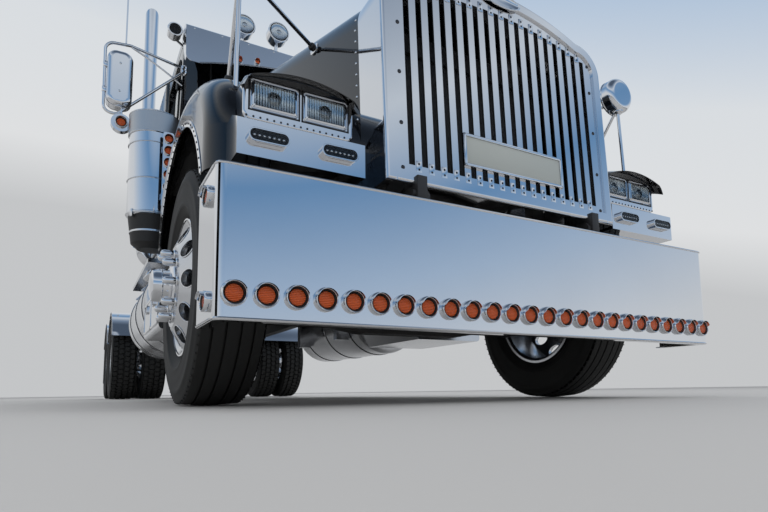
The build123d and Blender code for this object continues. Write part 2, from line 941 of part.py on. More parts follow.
# Steering wheel: rim, three spokes and a hub on the column
steering_radius = 230
with BuildPart() as steering_wheel:
    wheel_plane = Plane(origin=wheel_centre, x_dir=(1, 0, 0), z_dir=column_dir)
    with BuildSketch(Plane(origin=wheel_centre, x_dir=(1, 0, 0), z_dir=(0, -column_dir[2], column_dir[1]))):
        with Locations((steering_radius - 16, 0)):
            Circle(16)
    revolve(axis=Axis(wheel_centre, column_dir))
    with BuildSketch(wheel_plane.offset(-28)):
        Circle(42)
    extrude(amount=40)
    with BuildSketch(wheel_plane.offset(-6)):
        with PolarLocations(0, 3, start_angle=-30):
            Rectangle(steering_radius - 16, 34, align=(Align.MIN, Align.CENTER))
    extrude(amount=8)
    with BuildSketch(wheel_plane.offset(-29)):
        Circle(column_radius + bearing_clearance)
    extrude(amount=29 + seat_gap, mode=Mode.SUBTRACT)
save(steering_wheel.part, "steering_wheel")

# Grille surround: deep arched shell on a plane that leans back
lean = radians(grille_rake)
grille_plane = Plane(
    origin=(0, back(grille_back), grille_bottom), x_dir=(1, 0, 0), z_dir=(0, -cos(lean), sin(lean))
)


def arch_sketch(plane, half, shoulder, crown, corner, inset=0.0, foot=0.0):
    # Arched outline: upright sides, rounded corners and a gently crowned top
    with BuildSketch(plane) as shape:
        with BuildLine():
            Line((-half, foot), (half, foot))
            Line((half, foot), (half, shoulder - corner))
            ThreePointArc(
                (half, shoulder - corner),
                (half - 0.3 * corner, shoulder - 0.27 * corner),
                (half - corner, shoulder),
            )
            ThreePointArc((half - corner, shoulder), (0, crown), (corner - half, shoulder))
            ThreePointArc(
                (corner - half, shoulder),
                (0.3 * corner - half, shoulder - 0.27 * corner),
                (-half, shoulder - corner),
            )
            Line((-half, shoulder - corner), (-half, foot))
        make_face()
        if inset:
            offset(amount=-inset)
    return shape.sketch


arch_sizes = (grille_half, grille_shoulder, grille_crown, grille_corner)
with BuildPart() as grille_surround:
    extrude(arch_sketch(grille_plane, *arch_sizes), amount=-surround_depth)
    fillet(grille_surround.faces().sort_by(Axis.Y)[0].edges(), 14)
    extrude(
        arch_sketch(grille_plane.offset(1), *arch_sizes, inset=surround_lip),
        amount=-surround_depth - 2,
        mode=Mode.SUBTRACT,
    )
    # Hinge ears under the shell, on the frame's pivot pins
    for _, sign in sides:
        ear_x = sign * (rail_outer / 2 + 14 + 4)
        low_x, high_x = sorted((ear_x, ear_x + sign * 40))
        add(
            block(
                (low_x, back(hinge_back - 22), hinge_height - 18),
                (high_x, back(grille_back + 80), grille_bottom + 30),
            )
        )
        with Locations(((low_x + high_x) / 2, back(hinge_back), hinge_height)):
            Cylinder(
                hinge_pin_radius + bearing_clearance, 200, rotation=(0, 90, 0), mode=Mode.SUBTRACT
            )
save(grille_surround.part, "grille_surround")

# Grille bars: flat panel inside the shell, slotted so that upright bars are left, and the blank plate
panel_half = grille_half - surround_lip
with BuildPart() as grille_bars:
    extrude(
        arch_sketch(grille_plane.offset(-panel_recess), *arch_sizes, inset=surround_lip),
        amount=-panel_sheet,
    )
    with BuildSketch(grille_plane):
        for index in range(slot_count):
            x = (index - (slot_count - 1) / 2) * slot_pitch
            top = grille_crown - surround_lip - slot_top_margin
            top -= (grille_crown - grille_shoulder) * (x / panel_half) ** 2
            with Locations((x, slot_bottom)):
                Rectangle(slot_width, top - slot_bottom, align=(Align.CENTER, Align.MIN))
    extrude(amount=-panel_recess - 2 * panel_sheet, mode=Mode.SUBTRACT)
    with BuildSketch(grille_plane.offset(-panel_recess)):
        with Locations((plate_shift, plate_bottom)):
            Rectangle(plate_width, plate_height, align=(Align.CENTER, Align.MIN))
    extrude(amount=8)
save(grille_bars.part, "grille_bars")

# Hood: lofted from the grille shell to the cowl, hollow, cut away above the wheels
hood_front = grille_plane.offset(-surround_depth)
hood_rear = facing(cowl_back - hood_gap)
hood_foot = grille_bottom + 30
hood_seam = 4
hood_lift = 20


def hood_form(inset):
    with BuildPart() as form:
        loft(
            [
                arch_sketch(
                    hood_front,
                    grille_half - hood_seam - inset,
                    grille_shoulder - hood_seam - inset,
                    grille_crown - hood_seam - inset,
                    grille_corner,
                    foot=hood_lift - 2 * inset,
                ),
                arch_sketch(
                    hood_rear,
                    hood_rear_half - inset,
                    hood_rear_shoulder - inset,
                    hood_rear_crown - inset,
                    hood_rear_corner,
                    foot=hood_foot - 2 * inset,
                ),
            ]
        )
    return form.part


hood_solid = hood_form(0)
with BuildPart() as hood_shell:
    add(hood_solid)
    add(hood_form(hood_sheet), mode=Mode.SUBTRACT)
    with BuildSketch(Plane.YZ):
        with BuildLine():
            Polyline(
                (back(fender_front_back + 150), 0),
                (back(fender_front_back + 150), grille_bottom + 120),
                (back(fender_front_back + 260), hood_skirt),
                (back(cowl_back), hood_skirt),
                (back(cowl_back), 0),
                close=True,
            )
        make_face()
    extrude(amount=2 * cab_half, both=True, mode=Mode.SUBTRACT)
save(hood_shell.part, "hood_shell")


# Front fenders: a rounded form each side, hollowed, with the wheel arch cut through its outer wall
fender_root = grille_half - 60
with BuildPart() as fender_form:
    with BuildSketch(beside(fender_root)):
        with BuildLine():
            crown = ThreePointArc(
                *((back(distance), height) for distance, height in (fender_shoulder, fender_crown, fender_tail))
            )
            nose_start = (back(fender_front_back), fender_nose_height)
            TangentArc(crown @ 0, nose_start, tangent=-(crown % 0))
            Polyline(
                crown @ 1,
                (back(fender_rear_back), fender_bottom + 90),
                (back(fender_rear_back), fender_bottom),
                (back(fender_front_back), fender_bottom),
                nose_start,
            )
        make_face()
    extrude(amount=fender_outer - fender_root)
    outer_rim = fender_form.faces().sort_by(Axis.X)[-1].edges()
    fillet(outer_rim.filter_by(lambda edge: edge.center().Z > fender_bottom + 10), fender_round)
fender_solid = fender_form.part
with BuildPart() as front_fenders:
    add(fender_solid)
    root_face = front_fenders.faces().sort_by(Axis.X)[0]
    foot_face = front_fenders.faces().filter_by(Plane.XY).sort_by(Axis.Z)[0]
    offset(amount=-fender_sheet, openings=[root_face, foot_face])
    with Locations((fender_outer, back(arch_back), arch_height)):
        Cylinder(arch_radius, 240, rotation=(0, 90, 0), mode=Mode.SUBTRACT)
    with BuildSketch(beside(fender_outer - 120)):
        with Locations((back(arch_back), arch_height)):
            Rectangle(2 * arch_radius, 600, align=(Align.CENTER, Align.MAX))
    extrude(amount=240, mode=Mode.SUBTRACT)
    mirror(about=Plane.YZ)
    add(hood_solid, mode=Mode.SUBTRACT)
    extrude(arch_sketch(grille_plane, *arch_sizes), amount=-surround_depth, mode=Mode.SUBTRACT)
save(front_fenders.part, "front_fenders")

# Headlights: a pod with two square lamps over a sloping lamp panel, on each fender's front
pod_inner = 690
pod_outer = 1105
pod_bottom = 985
pod_shoulder = 1143
pod_top = 1176
pod_corner = 30
pod_front_back = 175
pod_rear_back = 430
lens_width = 165
lens_height = 100
lens_bottom = 1030
lens_xs = (802, 994)
lens_hole_margin = 5
lens_hole_depth = 40
lens_set_back = 14
led_xs = (782, 1037)
led_size = (140, 48)
led_rise = 52
panel_inner = 675
panel_outer = 1140
panel_front_back = 105
with BuildPart() as headlights:
    with BuildSketch(facing(pod_front_back)):
        with BuildLine():
            Polyline(
                (pod_inner, pod_shoulder), (pod_inner, pod_bottom), (pod_outer, pod_bottom), (pod_outer, pod_shoulder)
            )
            ThreePointArc(
                (pod_inner, pod_shoulder), ((pod_inner + pod_outer) / 2, pod_top), (pod_outer, pod_shoulder)
            )
        outline = make_face()
        fillet(outline.vertices(), pod_corner)
    extrude(amount=-(pod_rear_back - pod_front_back))
    fillet(headlights.faces().sort_by(Axis.Y)[0].edges(), 10)
    with BuildSketch(facing(pod_front_back)):
        with Locations(*((x, lens_bottom + lens_height / 2) for x in lens_xs)):
            RectangleRounded(lens_width + 2 * lens_hole_margin, lens_height + 2 * lens_hole_margin, 14)
    extrude(amount=-lens_hole_depth, mode=Mode.SUBTRACT)
    with BuildSketch(beside(panel_inner)):
        with BuildLine():
            Polyline(
                (back(panel_front_back), fender_bottom - 15),
                (back(fender_front_back), fender_bottom - 15),
                (back(fender_front_back), pod_bottom),
                (back(pod_front_back), pod_bottom),
                (back(panel_front_back), pod_bottom - 35),
                close=True,
            )
        make_face()
    extrude(amount=panel_outer - panel_inner)
    # The pod's rear is shaped to the fender's nose
    add(fender_solid, mode=Mode.SUBTRACT)
    with BuildSketch(facing(panel_front_back)):
        with Locations(*((x, fender_bottom + led_rise) for x in led_xs)):
            SlotOverall(*led_size)
    extrude(amount=14)
    with BuildSketch(facing(pod_front_back + lens_set_back)):
        with Locations(*((x, lens_bottom + lens_height / 2) for x in lens_xs)):
            RectangleRounded(lens_width, lens_height, 12)
    extrude(amount=-(lens_hole_depth - lens_set_back - seat_gap))
    mirror(about=Plane.YZ)
save(headlights.part, "headlights")

# Fender mirrors: three legs and a round head each side
head_x = 1085
head_back = 345
head_height = 1735
head_radius = 100
mirror_legs = (
    # distance x, back and up of the foot in the fender or the hood, then of the leg's top
    ((1095, 330, 1100), (head_x, head_back, 1640)),
    ((1060, 640, 1280), (head_x, head_back + 5, 1660)),
    ((600, 700, 1650), (head_x, head_back + 5, 1680)),
)
leg_radius = 9
with BuildPart() as fender_mirrors:
    for leg in mirror_legs:
        add(rod(*((x, back(distance), height) for x, distance, height in leg), leg_radius))
    add(rod((head_x, back(head_back), 1630), (head_x, back(head_back), head_height), 14))
    with BuildSketch(facing(head_back - 40)):
        with Locations((head_x, head_height)):
            Circle(head_radius)
    extrude(amount=-70)
    fillet(fender_mirrors.faces().sort_by(Axis.Y)[0].edges(), 34)
    add(fender_solid, mode=Mode.SUBTRACT)
    add(hood_solid, mode=Mode.SUBTRACT)
    mirror(about=Plane.YZ)
    add(headlights.part, mode=Mode.SUBTRACT)
save(fender_mirrors.part, "fender_mirrors")

# Air cleaners: banded canisters beside the cowl, with a bar of marker lights
with BuildPart() as air_cleaners:
    with BuildSketch(Plane(origin=(cleaner_x, back(cleaner_back), 0), x_dir=(1, 0, 0), z_dir=(0, -1, 0))):
        with BuildLine():
            Polyline(
                (0, cleaner_bottom - cleaner_bowl_drop),
                (cleaner_radius - 75, cleaner_bottom - cleaner_bowl_drop),
                (cleaner_radius - 35, cleaner_bottom - cleaner_bowl_drop + 35),
                (cleaner_radius - 12, cleaner_bottom - 6),
                (cleaner_radius, cleaner_bottom),
                (cleaner_radius, cleaner_top - 40),
                (cleaner_radius - 10, cleaner_top - 22),
                (cleaner_radius - 60, cleaner_top),
                (0, cleaner_top),
                close=True,
            )
        make_face()
    revolve(axis=Axis((cleaner_x, back(cleaner_back), 0), (0, 0, 1)))
    # Straps that carry the canister on the cowl's side
    for height in (cleaner_bottom + 300, cleaner_top - 150):
        add(
            block(
                (cowl_half - 20, back(cleaner_back + 20), height - 30),
                (cleaner_x, back(cleaner_back + 50), height + 30),
            )
        )
    # Upright bar for forward-facing marker lights, on two brackets in front of the canister
    with BuildSketch(facing(light_bar_back)):
        with Locations((light_bar_x, (light_bar_low + light_bar_high) / 2)):
            RectangleRounded(light_bar_width, light_bar_high - light_bar_low, 14)
    extrude(amount=-6)
    for height in (light_bar_low + 90, light_bar_high - 90):
        add(
            block(
                (light_bar_x - 15, back(light_bar_back + 5), height - 20),
                (light_bar_x + 15, back(cleaner_back - cleaner_radius + 40), height + 20),
            )
        )
    mirror(about=Plane.YZ)
    add(cab_solid, mode=Mode.SUBTRACT)
save(air_cleaners.part, "air_cleaners")

# Exhaust stacks: muffler, pipe with a slanted mouth, and two elbows down to the frame
elbow_radius = 130
pipe_foot_x = rail_outer / 2 + stack_radius + 25
pipe_foot = rail_bottom + 120
with BuildPart() as exhaust_stacks:
    stack_y = back(stack_back)
    add(rod((stack_x, stack_y, muffler_bottom), (stack_x, stack_y, muffler_top), muffler_radius))
    fillet(exhaust_stacks.edges().filter_by(GeomType.CIRCLE), 22)
    add(rod((stack_x, stack_y, sleeve_bottom), (stack_x, stack_y, muffler_bottom + 1), sleeve_radius))
    with BuildLine():
        FilletPolyline(
            (stack_x, stack_y, stack_top),
            (stack_x, stack_y, elbow_height),
            (pipe_foot_x, stack_y, elbow_height),
            (pipe_foot_x, stack_y, pipe_foot),
            radius=elbow_radius,
        )
    with BuildSketch(Plane(origin=(stack_x, stack_y, stack_top), z_dir=(0, 0, -1))):
        Circle(stack_radius)
    sweep()
    # Mouth cut on a slant, facing rearward
    with BuildSketch(beside(stack_x - 2 * stack_radius)):
        with BuildLine():
            Polyline(
                (stack_y - 2 * stack_radius, stack_top + 60),
                (stack_y + 2 * stack_radius, stack_top + 60),
                (stack_y + 2 * stack_radius, stack_top - 170),
                close=True,
            )
        make_face()
    extrude(amount=4 * stack_radius, mode=Mode.SUBTRACT)
    with Locations((stack_x, stack_y, stack_top)):
        Cylinder(
            stack_radius - 3, 700, align=(Align.CENTER, Align.CENTER, Align.MAX), mode=Mode.SUBTRACT
        )
    # Brackets to the sleeper's rear wall and to the rail
    for height in (muffler_bottom + 150, muffler_top - 300):
        add(
            block(
                (stack_x - 110, back(sleeper_back + seat_gap), height - 25),
                (stack_x - 80, stack_y, height + 25),
            )
        )
    add(
        block(
            (rail_outer / 2 + seat_gap, stack_y - 50, pipe_foot + 20),
            (pipe_foot_x - stack_radius + 6, stack_y + 50, rail_top - 20),
        )
    )
    mirror(about=Plane.YZ)
save(exhaust_stacks.part, "exhaust_stacks")

# Fuel tanks: a round tank each side, on two hangers bolted to the rail
with BuildPart() as fuel_tanks:
    add(
        rod(
            (tank_x, back(tank_front_back), tank_height),
            (tank_x, back(tank_rear_back), tank_height),
            tank_radius,
        )
    )
    fillet(fuel_tanks.edges().filter_by(GeomType.CIRCLE), 45)
    for distance in (tank_front_back + 260, tank_rear_back - 260):
        add(
            block(
                (rail_outer / 2 + seat_gap, back(distance - 35), tank_height - 200),
                (rail_outer / 2 + 120, back(distance + 35), rail_top - 20),
            )
        )
    # Step boards on top of the tank, under the door and the sleeper
    board_low = (tank_x - 40, back(tank_front_back + 80), 1030)
    board_high = (tank_x + 310, back(tank_rear_back - 80), 1062)
    add(block(board_low, board_high))
    mirror(about=Plane.YZ)
save(fuel_tanks.part, "fuel_tanks")

# Step boxes: battery and tool boxes behind the front wheels, with two treads
box_outer = 1165
box_bottom = 430
box_tread = 700
box_riser = 960
box_top = 950
with BuildPart() as step_boxes:
    with BuildSketch(facing(box_front_back)):
        with BuildLine():
            Polyline(
                (rail_outer / 2 + seat_gap, box_top),
                (rail_outer / 2 + seat_gap, box_top - 190),
                (600, box_bottom),
                (box_outer, box_bottom),
                (box_outer, box_tread),
                (box_riser, box_tread),
                (box_riser, box_top),
                close=True,
            )
        make_face()
    extrude(amount=-(box_rear_back - box_front_back))
    fillet(step_boxes.edges().filter_by(Axis.Y).group_by(Axis.X)[-1], 25)
    mirror(about=Plane.YZ)
save(step_boxes.part, "step_boxes")

# Rear fenders: a half-round polished sheet over each drive wheel pair, on arms from the rail
rear_fender_width = 640
arc_start = 25
with BuildPart() as rear_fenders:
    for distance in (first_axle_back, second_axle_back):
        inner_edge = dual_outer_x + tyre_width / 2 + 10 - rear_fender_width
        fender_end = (inner_edge, back(distance), wheel_height)
        with BuildSketch(Plane(origin=fender_end, x_dir=(0, 1, 0), z_dir=(1, 0, 0))):
            Circle(rear_fender_radius)
            Circle(rear_fender_radius - rear_fender_sheet, mode=Mode.SUBTRACT)
            with BuildLine():
                reach = 1.2 * rear_fender_radius
                drop = reach * tan(radians(arc_start))
                Polyline((0, 0), (reach, drop), (reach, -reach), (-reach, -reach), (-reach, drop), close=True)
            make_face(mode=Mode.SUBTRACT)
        extrude(amount=rear_fender_width)
        for turn in (40, 140):
            arm_y = back(distance) + (rear_fender_radius - 22) * cos(radians(turn))
            arm_z = wheel_height + (rear_fender_radius - 22) * sin(radians(turn))
            add(
                rod(
                    (rail_outer / 2 + seat_gap, arm_y, arm_z),
                    (inner_edge + 0.8 * rear_fender_width, arm_y, arm_z),
                    18,
                )
            )
    mirror(about=Plane.YZ)
save(rear_fenders.part, "rear_fenders")

# Mud flaps: hanger bars from the rail ends with a flap behind each wheel pair
flap_back = second_axle_back + rear_fender_radius - 36
flap_inner = dual_inner_x - tyre_width / 2
flap_outer = dual_outer_x + tyre_width / 2
with BuildPart() as mud_flaps:
    add(
        rod(
            (rail_outer / 2 + seat_gap, back(flap_back + 12), rail_top - 80),
            (flap_outer, back(flap_back + 12), rail_top - 80),
            12,
        )
    )
    add(block((flap_inner, back(flap_back), 240), (flap_outer, back(flap_back + 9), rail_top - 60)))
    mirror(about=Plane.YZ)
save(mud_flaps.part, "mud_flaps")

# Tail lights: a plate across the frame's end with three round lamps each side
with BuildPart() as tail_lights:
    with BuildSketch(facing(frame_rear_back + seat_gap)):
        with Locations((0, rail_bottom + 60)):
            RectangleRounded(rail_outer, 150, 20)
    extrude(amount=-12)
    with BuildSketch(facing(frame_rear_back + seat_gap + 12)):
        with Locations(*((sign * x, rail_bottom + 60) for sign in (-1, 1) for x in (150, 265, 380))):
            Circle(48)
    extrude(amount=-(8 - seat_gap))
save(tail_lights.part, "tail_lights")

# Deck plate on the rails behind the sleeper
deck_rear_back = 5350
with BuildPart() as deck_plate:
    add(
        block(
            (-rail_outer / 2, back(sleeper_back + 60), rail_top + seat_gap),
            (rail_outer / 2, back(deck_rear_back), rail_top + 8),
        )
    )
save(deck_plate.part, "deck_plate")

# Side mirrors: tall heads in bent tube frames on the cab's front corners
mirror_x = 1400
mirror_y = back(2400)
mirror_low = 2000
mirror_high = 2400
arm_back = door_front_back - 48
arm_foot_x = 985
arm_heights = (2435, 2405)
frame_tube = 10
with BuildPart() as side_mirrors:
    with BuildLine() as loop:
        FilletPolyline(
            (arm_foot_x, back(arm_back), arm_heights[0]),
            (mirror_x - 60, mirror_y, mirror_high + 70),
            (mirror_x + 95, mirror_y, mirror_high + 55),
            (mirror_x + 90, mirror_y, mirror_low - 45),
            (mirror_x + 10, mirror_y, mirror_low - 48),
            (arm_foot_x, back(arm_back), arm_heights[1]),
            radius=[60, 60, 50, 40],
        )
    with BuildSketch(Plane(origin=loop.line @ 0, z_dir=loop.line % 0)):
        Circle(frame_tube)
    sweep()
    with BuildSketch(facing(2400 - 45)):
        with Locations((mirror_x, (mirror_low + mirror_high) / 2)):
            RectangleRounded(160, mirror_high - mirror_low, 60)
    extrude(amount=-90)
    fillet(side_mirrors.faces().sort_by(Axis.Y)[0].edges(), 35)
    for height in (mirror_low + 110, mirror_high - 110):
        add(rod((mirror_x + 40, mirror_y, height), (mirror_x + 90, mirror_y, height), 8))
    # Amber marker and round convex mirror hung below the head
    convex_x = mirror_x - 20
    convex_z = mirror_low - 110
    add(rod((convex_x, mirror_y, convex_z - 20), (convex_x, mirror_y, mirror_low + 10), 7))
    add(rod((convex_x, mirror_y - 20, convex_z), (convex_x, mirror_y + 22, convex_z), 62))
    # Whip antenna on the mirror frame
    add(rod((mirror_x - 30, mirror_y, mirror_high + 60), (mirror_x - 30, mirror_y, 3250), 5))
    mirror(about=Plane.YZ)
    add(cab_solid, mode=Mode.SUBTRACT)
save(side_mirrors.part, "side_mirrors")

# Roof lamps: four round lamps on the roof's front and one on each front pillar
roof_lamp_places = (
    # x, distance back, height, radius
    (570, 2400, 2872, 80),
    (300, 2400, 2900, 80),
)
pillar_lamp_x = 1062
pillar_lamp_radius = 48
with BuildPart() as roof_lamps:
    for x, distance, height, radius in roof_lamp_places:
        add(rod((x, back(distance - 35), height), (x, back(distance + 40), height), radius))
        add(rod((x, back(distance + 60), screen_head), (x, back(distance + 20), height - 40), 14))
    # Pillar lamps, outside the visor's end plates
    add(rod((pillar_lamp_x, back(2370), 2670), (pillar_lamp_x, back(2440), 2670), pillar_lamp_radius))
    add(rod((950, back(2478), 2600), (pillar_lamp_x, back(2430), 2640), 9))
    mirror(about=Plane.YZ)
    add(cab_solid, mode=Mode.SUBTRACT)
    add(sun_visor.part, mode=Mode.SUBTRACT)
save(roof_lamps.part, "roof_lamps")

# Coupling base: plate on the rails with two pivot brackets
coupling_y = back(tandem_back - coupling_ahead)
bracket_inner = 330
bracket_width = 45
pivot_radius = 24
with BuildPart() as fifth_wheel_base:
    add(
        block(
            (-rail_outer / 2, coupling_y - 330, rail_top + seat_gap),
            (rail_outer / 2, coupling_y + 330, rail_top + 16),
        )
    )
    with BuildSketch(beside(bracket_inner)):
        with BuildLine():
            Polyline(
                (coupling_y - 190, rail_top + 16),
                (coupling_y + 190, rail_top + 16),
                (coupling_y + 45, coupling_pivot + 20),
                (coupling_y - 45, coupling_pivot + 20),
                close=True,
            )
        made = make_face()
        fillet(made.vertices().group_by(Axis.Z)[-1], 30)
    extrude(amount=bracket_width)
    with Locations((bracket_inner + bracket_width - 1, coupling_y, coupling_pivot)):
        Cylinder(
            pivot_radius, 50, rotation=(0, 90, 0), align=(Align.CENTER, Align.CENTER, Align.MIN)
        )
    mirror(about=Plane.YZ)
save(fifth_wheel_base.part, "fifth_wheel_base")

# Coupling plate: round top with a tapered throat that leads to the lock's bore
plate_under = plate_top - plate_thickness
ear_inner = bracket_inner + bracket_width + 3
ear_width = 40
lock_radius = 70
with BuildPart() as fifth_wheel_plate:
    with BuildSketch(Plane.XY.offset(plate_under)):
        with Locations((0, coupling_y)):
            Circle(plate_radius)
        with Locations((0, coupling_y + 250)):
            Rectangle(2 * plate_radius - 120, 540)
        with BuildLine():
            mouth = 560
            spread = mouth * tan(radians(throat_angle))
            Polyline(
                (-30, coupling_y + 30),
                (30, coupling_y + 30),
                (30 + spread, coupling_y + 30 + mouth),
                (-30 - spread, coupling_y + 30 + mouth),
                close=True,
            )
        make_face(mode=Mode.SUBTRACT)
    extrude(amount=plate_thickness)
    # Stiffening rib round the front half
    with BuildSketch(Plane.XY.offset(plate_under - 30)):
        with Locations((0, coupling_y)):
            Circle(plate_radius - 90)
            Circle(plate_radius - 110, mode=Mode.SUBTRACT)
        with Locations((0, coupling_y + 20)):
            Rectangle(2 * plate_radius, plate_radius, align=(Align.CENTER, Align.MIN), mode=Mode.SUBTRACT)
    extrude(amount=31)
    # Lock body under the plate, round the kingpin's bore
    with BuildSketch(Plane.XY.offset(plate_under - 45)):
        with Locations((0, coupling_y)):
            Circle(lock_radius)
    extrude(amount=45 + plate_thickness - 8)
    with Locations((0, coupling_y, plate_under)):
        Cylinder(kingpin_bore, 200, mode=Mode.SUBTRACT)
    # Ears on the pivot pins
    for _, sign in sides:
        low_x, high_x = sorted((sign * ear_inner, sign * (ear_inner + ear_width)))
        add(
            block(
                (low_x, coupling_y - 60, coupling_pivot - 35),
                (high_x, coupling_y + 60, plate_under + 1),
            )
        )
        with Locations(((low_x + high_x) / 2, coupling_y, coupling_pivot)):
            Cylinder(
                pivot_radius + bearing_clearance, 2 * ear_width, rotation=(0, 90, 0), mode=Mode.SUBTRACT
            )
save(fifth_wheel_plate.part, "fifth_wheel_plate")


def tyre(x, distance):
    # One tyre about an axle line: tread, rounded shoulders, bulged walls and a hollow inside
    half, tread = tyre_width / 2, tread_width / 2
    seat = rim_width / 2 - 1
    wall = tyre_radius - rim_lip_radius
    centre = (x, back(distance), wheel_height)
    with BuildPart() as ring:
        with BuildSketch(Plane(origin=centre)):
            for end in (1, -1):
                with BuildLine():
                    Polyline(
                        (0, tyre_radius - 26),
                        (0, tyre_radius),
                        (end * tread, tyre_radius - 7),
                        (end * (tread + 12), tyre_radius - 24),
                    )
                    ThreePointArc(
                        (end * (tread + 12), tyre_radius - 24),
                        (end * half, rim_lip_radius + 0.42 * wall),
                        (end * seat, rim_lip_radius + 5),
                    )
                    Polyline(
                        (end * seat, rim_lip_radius + 5),
                        (end * seat, bead_radius),
                        (end * (seat - 30), bead_radius),
                        (end * (seat - 18), bead_radius + 40),
                    )
                    ThreePointArc(
                        (end * (seat - 18), bead_radius + 40),
                        (end * (half - 18), rim_lip_radius + 0.44 * wall),
                        (end * (tread - 14), tyre_radius - 34),
                    )
                    Line((end * (tread - 14), tyre_radius - 34), (0, tyre_radius - 26))
                make_face()
        revolve(axis=Axis(centre, (1, 0, 0)))
    return ring.part


def rim(x, distance, disc, sign):
    # One wheel: barrel with two lips, and a disc that lies disc outward of the barrel's middle
    half = rim_width / 2
    lip = 13
    centre = (x, back(distance), wheel_height)
    edge = max(-half + 4, min(half - 4, disc * 0.55)) * sign
    face = disc * sign
    inner = rim_barrel_radius - rim_wall
    with BuildPart() as wheel:
        with BuildSketch(Plane(origin=centre)):
            with BuildLine():
                Polyline(
                    (-half - lip, rim_lip_radius),
                    (-half, rim_lip_radius),
                    (-half, rim_barrel_radius),
                    (half, rim_barrel_radius),
                    (half, rim_lip_radius),
                    (half + lip, rim_lip_radius),
                    (half + lip, rim_lip_radius - 14),
                    (half, inner),
                    (-half, inner),
                    (-half - lip, rim_lip_radius - 14),
                    close=True,
                )
            make_face()
            with BuildLine():
                Polyline(
                    (edge, inner + 1),
                    (face - 9 * sign, 175),
                    (face - 9 * sign, 60),
                    (face + 9 * sign, 60),
                    (face + 9 * sign, 178),
                    (edge + 22 * sign, inner + 1),
                    close=True,
                )
            make_face()
        revolve(axis=Axis(centre, (1, 0, 0)))
        hole_plane = Plane(origin=centre, x_dir=(0, 1, 0), z_dir=(1, 0, 0))
        with BuildSketch(hole_plane.offset(-half - 120)):
            with PolarLocations(hand_hole_circle + 22, hand_holes):
                Circle(hand_hole_radius)
        extrude(amount=2 * half + 240, mode=Mode.SUBTRACT)
    return wheel.part


# Front wheels: a tyre and a rim with its hub, turning on the knuckle's spindle
front_disc = 150
hub_radius = 84
hub_length = 230
cap_radius = 62
cap_length = 80
for side, sign in sides:
    disc_x = front_tyre_x + front_disc
    save(tyre(sign * front_tyre_x, front_axle_back), f"front_tyre_{side}")
    with BuildPart() as front_rim:
        add(rim(sign * front_tyre_x, front_axle_back, front_disc, sign))
        hub_line = back(front_axle_back)
        add(
            rod(
                (sign * (disc_x + 10 - hub_length), hub_line, wheel_height),
                (sign * (disc_x + 10), hub_line, wheel_height),
                hub_radius,
            )
        )
        add(
            rod(
                (sign * (disc_x + 9), hub_line, wheel_height),
                (sign * (disc_x + 9 + cap_length), hub_line, wheel_height),
                cap_radius,
            )
        )
        add(
            rod(
                (sign * (disc_x + 5 - hub_length), hub_line, wheel_height),
                (sign * (disc_x + seat_gap), hub_line, wheel_height),
                spindle_radius + bearing_clearance,
            ),
            mode=Mode.SUBTRACT,
        )
    save(front_rim.part, f"front_rim_{side}")

# Drive wheels: two tyres and two rims bolted face to face, with the hub between, at each axle end
axle_names = (("first", first_axle_back), ("second", second_axle_back))
dual_disc = dual_spacing / 2 - 9
for axle, distance in axle_names:
    for side, sign in sides:
        with BuildPart() as dual_tyres:
            add(tyre(sign * dual_outer_x, distance))
            add(tyre(sign * dual_inner_x, distance))
        save(dual_tyres.part, f"dual_tyres_{axle}_{side}")
        with BuildPart() as dual_rims:
            add(rim(sign * dual_outer_x, distance, -dual_disc, sign))
            add(rim(sign * dual_inner_x, distance, dual_disc, sign))
            axle_y = back(distance)
            add(
                rod(
                    (sign * (spindle_start + 6), axle_y, wheel_height),
                    (sign * (dual_face_x + 90), axle_y, wheel_height),
                    hub_radius,
                )
            )
            add(
                rod(
                    (sign * spindle_start, axle_y, wheel_height),
                    (sign * (spindle_end + seat_gap), axle_y, wheel_height),
                    spindle_radius + bearing_clearance,
                ),
                mode=Mode.SUBTRACT,
            )
        save(dual_rims.part, f"dual_rims_{axle}_{side}")

# Knuckles: a fork round the axle's eye with the kingpin through it, a spindle and a steering arm
fork_inner = axle_eye_height / 2 + seat_gap
fork_outer = fork_inner + knuckle_ear
axle_y = back(front_axle_back)
pin_y = axle_y + steer_arm_length
arm_top = wheel_height - fork_inner - steer_arm_lowered
arm_thick = 24
fork_web = kingpin_x + axle_eye_radius + 6
fork_face = fork_web + 22
for side, sign in sides:
    with BuildPart() as knuckle:
        with BuildSketch(facing(front_axle_back - 40)):
            with BuildLine():
                Polyline(
                    (sign * (kingpin_x - 34), wheel_height + fork_outer),
                    (sign * (kingpin_x - 34), wheel_height + fork_inner),
                    (sign * fork_web, wheel_height + fork_inner),
                    (sign * fork_web, wheel_height - fork_inner),
                    (sign * (kingpin_x - 34), wheel_height - fork_inner),
                    (sign * (kingpin_x - 34), wheel_height - fork_outer),
                    (sign * fork_face, wheel_height - fork_outer),
                    (sign * fork_face, wheel_height + fork_outer),
                    close=True,
                )
            make_face()
        extrude(amount=-80)
        with Locations((sign * kingpin_x, axle_y, wheel_height)):
            Cylinder(kingpin_radius, 2 * fork_outer)
        add(
            rod(
                (sign * (fork_face - 10), axle_y, wheel_height),
                (sign * (front_tyre_x + front_disc), axle_y, wheel_height),
                spindle_radius,
            )
        )
        # Steering arm straight back from the kingpin, with the tie rod's pin under its end
        add(
            block(
                (sign * kingpin_x - 30, axle_y + 20, arm_top - arm_thick),
                (sign * kingpin_x + 30, pin_y + 30, arm_top),
            )
        )
        with Locations((sign * kingpin_x, pin_y, arm_top - arm_thick + 1)):
            Cylinder(ball_pin_radius, ball_pin_length, align=(Align.CENTER, Align.CENTER, Align.MAX))
    save(knuckle.part, f"knuckle_{side}")

